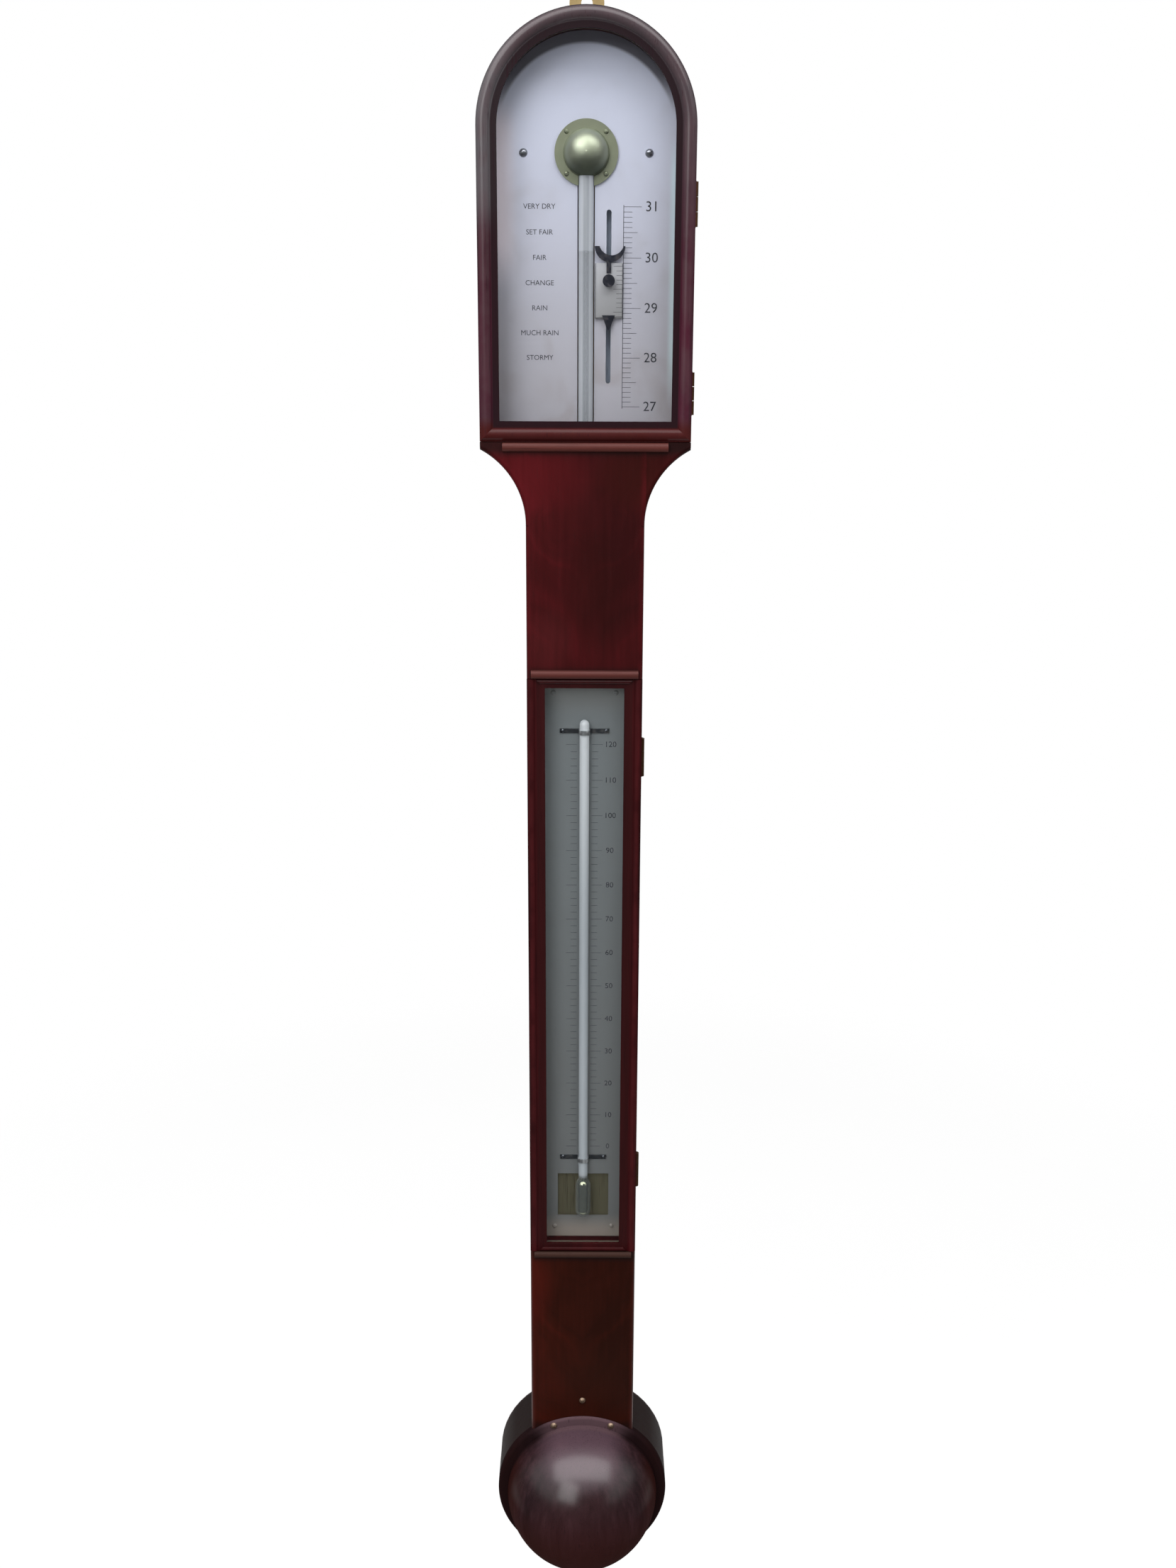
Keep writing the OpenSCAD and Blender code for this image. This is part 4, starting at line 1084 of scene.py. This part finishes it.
def hood_rail(place):
    return 1 - place.z.ease(hood_foot, hood_foot + 0.008)


def hood_inner(place):
    """The inner wall of the frame, between the bead and the pane, painted dark as shade."""
    inside = 1 - from_arch(place, hood_arch_drop).ease(0.0484, 0.0494)
    return inside * place.z.ease(hood_foot + 0.0006, hood_foot + 0.0022)


def hood_polish(place):
    return (1 - hood_inner(place)) * (0.55 - hood_rail(place) * 0.3)


dress(
    mahogany(
        "hood_mahogany",
        (stain(40, 11, 22), stain(62, 19, 35), stain(80, 32, 48)),
        0.3,
        [
            (hood_arch, stain(66, 62, 65), 0.8, 0.0),
            (left_shoulder, stain(84, 81, 84), 0.8, 0.0),
            (door_crest, stain(78, 58, 62), 0.4, 0.05),
            (hood_rail, stain(64, 17, 12), 0.85, 0.25),
            (hood_inner, stain(30, 18, 22), 0.9, 0.1),
        ],
        shine=0.05,
        polish=hood_polish,
    ),
    "hood_door_frame",
)

pane, place = new_finish("hood_pane")
film = place.noise(45, 5, (1, 1, 0.5)).ease(0.5, 0.85)
see_through(
    place,
    0.03 + glancing(place) * 0.9 + film * 0.02,
    (0.992, 0.996, 0.994, 1),
    {"Base Color": (0.88, 0.93, 0.95, 1), "Metallic": 1.0, "Roughness": 0.04 + film * 0.08},
)
dress(pane, "hood_glass", "thermometer_glass")

putty, place = new_finish("linseed_putty")
crumble = place.noise(420, 5)
coat(
    place,
    {
        "Base Color": crumble.mix(stain(112, 104, 92), stain(146, 136, 122)),
        "Roughness": 0.7 + crumble * 0.2,
        "Normal": crumble.relief(0.4, 0.0002),
    },
)
dress(putty, "hood_putty", "thermometer_putty")

# Thermometer door. A slighter frame of the same moulding, mitred at four corners and hung on two small
# butts at its right edge. Only the front of its bead keeps a polish, and its crest is rubbed and painted
# lighter as a highlight.
sight_half = 0.0262


def door_inner(place):
    return 1 - abs(place.x).ease(sight_half, sight_half + 0.001)


def door_polish(place):
    return place.y.ease(-0.0375, -0.0395) * place.z.ease(-0.704, -0.695) * 0.4


dress(
    mahogany(
        "door_mahogany",
        (stain(32, 7, 9), stain(53, 10, 13), stain(75, 19, 22)),
        0.3,
        [(door_crest, stain(78, 24, 27), 0.5, 0.05), (door_inner, stain(42, 11, 12), 0.7, 0.1)],
        shine=0.04,
        polish=door_polish,
    ),
    "thermometer_door_frame",
)

# Cistern cover. Turned from one block of dark mahogany, a hollow dome on a flat flange, scraped, polished
# and screwed on the foot block. The gloss has worn off its sides and underside. A lilac highlight is
# painted on its brow and the top of the flange, and painted shade darkens the face of the flange. A small
# stud stands over it.
cover_flange_face = -0.0415
dome_root = -0.046
brow_half, brow_fade = 0.014, 0.034


def dome_crown(place):
    return place.y.ease(-0.07, -0.089) * 0.5


def brow_across(place):
    return 1 - abs(place.x).ease(brow_half, brow_fade)


# A painted lilac highlight on the dome's brow.
def dome_brow(place):
    return place.z.ease(-0.852, -0.836) * place.y.ease(dome_root + 0.0035, dome_root) * brow_across(place)


def dome_under(place):
    low = 1 - place.z.ease(-0.893, -0.858)
    return place.math("MAXIMUM", low, abs(place.x).ease(0.033, 0.045))


# Painted shade on the flange's face round the dome.
def flange_shade(place):
    return place.y.ease(dome_root, cover_flange_face)


# A painted highlight on the top of the flange between the screws.
def flange_top(place):
    face = place.y.ease(dome_root - 0.0005, dome_root + 0.0025)
    return brow_across(place) * place.z.ease(-0.84, -0.833) * face


def dome_polish(place):
    return 0.012 + place.y.ease(-0.05, -0.066) * place.z.ease(-0.872, -0.85) * 0.68


dress(
    mahogany(
        "turned_mahogany",
        (stain(26, 15, 17), stain(40, 25, 28), stain(58, 38, 42)),
        0.24,
        [
            (dome_crown, stain(64, 36, 38), 0.6, 0.0),
            (dome_brow, stain(88, 68, 77), 0.65, 0.0),
            (dome_under, stain(46, 20, 16), 0.7, 0.42),
            (flange_shade, stain(24, 14, 15), 0.8, 0.2),
            (flange_top, stain(96, 74, 80), 0.7, 0.0),
        ],
        grain=(1, 1, 0.12),
        shine=0.0,
        polish=dome_polish,
    ),
    "cistern_cover",
)
dress(
    aged_brass("dull_heads", stain(150, 130, 112), stain(100, 80, 66), 0.34),
    "cistern_cover_screws",
    "trunk_stud",
)

# Studio. A pale round floor under the hanging case, a wide soft light overhead, a weak one in front, and
# white all round, as in the photograph. Polished wood and brass also see a pale sky and bright sides.
scene = bpy.context.scene
scene.view_settings.view_transform = "Standard"


def light_path(place, which):
    return place.node("ShaderNodeLightPath", {}, {}, which)


floor_r = 1.1
floor_fade = 0.7, 1.08
floor_glow = 0.8
floor_middle = (0, 0.5, -1.2)
bpy.ops.object.select_all(action="DESELECT")
bpy.ops.mesh.primitive_circle_add(vertices=96, radius=floor_r, fill_type="NGON", location=floor_middle)
bpy.ops.object.transform_apply(location=True, rotation=True, scale=True)
floor = bpy.context.object
floor.name = floor.data.name = "floor"
pale, place = new_finish("pale_floor")
seen = (
    light_path(place, "Is Camera Ray")
    + light_path(place, "Is Glossy Ray")
    + light_path(place, "Is Transmission Ray")
)
away = place.node("ShaderNodeVectorMath", {"operation": "DISTANCE"}, {0: place, 1: floor_middle}, "Value")
paint = place.node(
    "ShaderNodeBsdfPrincipled",
    {},
    {
        "Base Color": place.noise(9, 2).mix((0.9, 0.9, 0.9, 1), (0.93, 0.93, 0.93, 1)),
        "Roughness": 0.9,
        "Specular IOR Level": 0.0,
    },
)
glow = place.node("ShaderNodeEmission", {}, {"Color": (1, 1, 1, 1), "Strength": 1.0})
lit = place.node("ShaderNodeMixShader", {}, {0: seen * floor_glow, 1: paint, 2: glow})
clear = place.node("ShaderNodeBsdfTransparent", {}, {})
faded = place.node("ShaderNodeMixShader", {}, {0: away.ease(*floor_fade), 1: lit, 2: clear})
place.node("ShaderNodeOutputMaterial", {}, {"Surface": faded})
floor.data.materials.append(pale)

world = bpy.data.worlds.new("studio")
scene.world = world
world.use_nodes = True
world.node_tree.nodes.clear()
toward = Field(world.node_tree.nodes.new("ShaderNodeTexCoord").outputs["Generated"])
camera_ray = light_path(toward, "Is Camera Ray")
mirror_ray = light_path(toward, "Is Glossy Ray") + light_path(toward, "Is Transmission Ray")
up = toward.z
back = toward.y
backdrop = back.ease(0.1, 0.8) * up.ease(-0.35, 0.05) * (1 - up.ease(0.35, 0.6))
skylight = up.ease(0.45, 0.7) * (1 - back.ease(0.25, 0.45))
windows = abs(toward.x).ease(0.5, 0.75) * up.ease(0.05, 0.3) * (1 - back.ease(0.1, 0.5))
bright = toward.math("MAXIMUM", toward.math("MAXIMUM", backdrop, skylight), windows)
room_dark = 0.05
fill_light = 0.55
room = room_dark + (1 - room_dark) * bright
level = camera_ray + (1 - camera_ray) * (mirror_ray * room + (1 - mirror_ray) * fill_light)
sky = toward.node("ShaderNodeBackground", {}, {"Color": (1, 1, 1, 1), "Strength": level})
toward.node("ShaderNodeOutputWorld", {}, {"Surface": sky})


def soft_light(name, watts, width, height, at, aim):
    lamp = bpy.data.lights.new(name, "AREA")
    lamp.shape = "RECTANGLE"
    lamp.energy = watts
    lamp.size, lamp.size_y = width, height
    holder = bpy.data.objects.new(name, lamp)
    scene.collection.objects.link(holder)
    holder.location = at
    way = Vector(aim) - Vector(at)
    holder.rotation_euler = way.to_track_quat("-Z", "Y").to_euler()


soft_light("overhead", watts=79, width=4.6, height=1.6, at=(0, -0.95, 1.5), aim=(0, -0.02, -0.5))
soft_light("front", watts=32, width=1.6, height=1.6, at=(-1.2, -2.6, 0.9), aim=(0, -0.02, -0.45))

eye = (0.0021, -0.885, -0.175)
photo_high = 2212
focal_pixels = 2200
look_down = 15.4
roll = 0.22
lens = bpy.data.cameras.new("camera")
lens.sensor_fit = "VERTICAL"
lens.sensor_height = 36
lens.lens = lens.sensor_height * focal_pixels / photo_high
viewer = bpy.data.objects.new("camera", lens)
scene.collection.objects.link(viewer)
viewer.matrix_world = (
    Matrix.Translation(eye)
    @ Matrix.Rotation(math.radians(90 - look_down), 4, "X")
    @ Matrix.Rotation(math.radians(roll), 4, "Z")
)
scene.camera = viewer
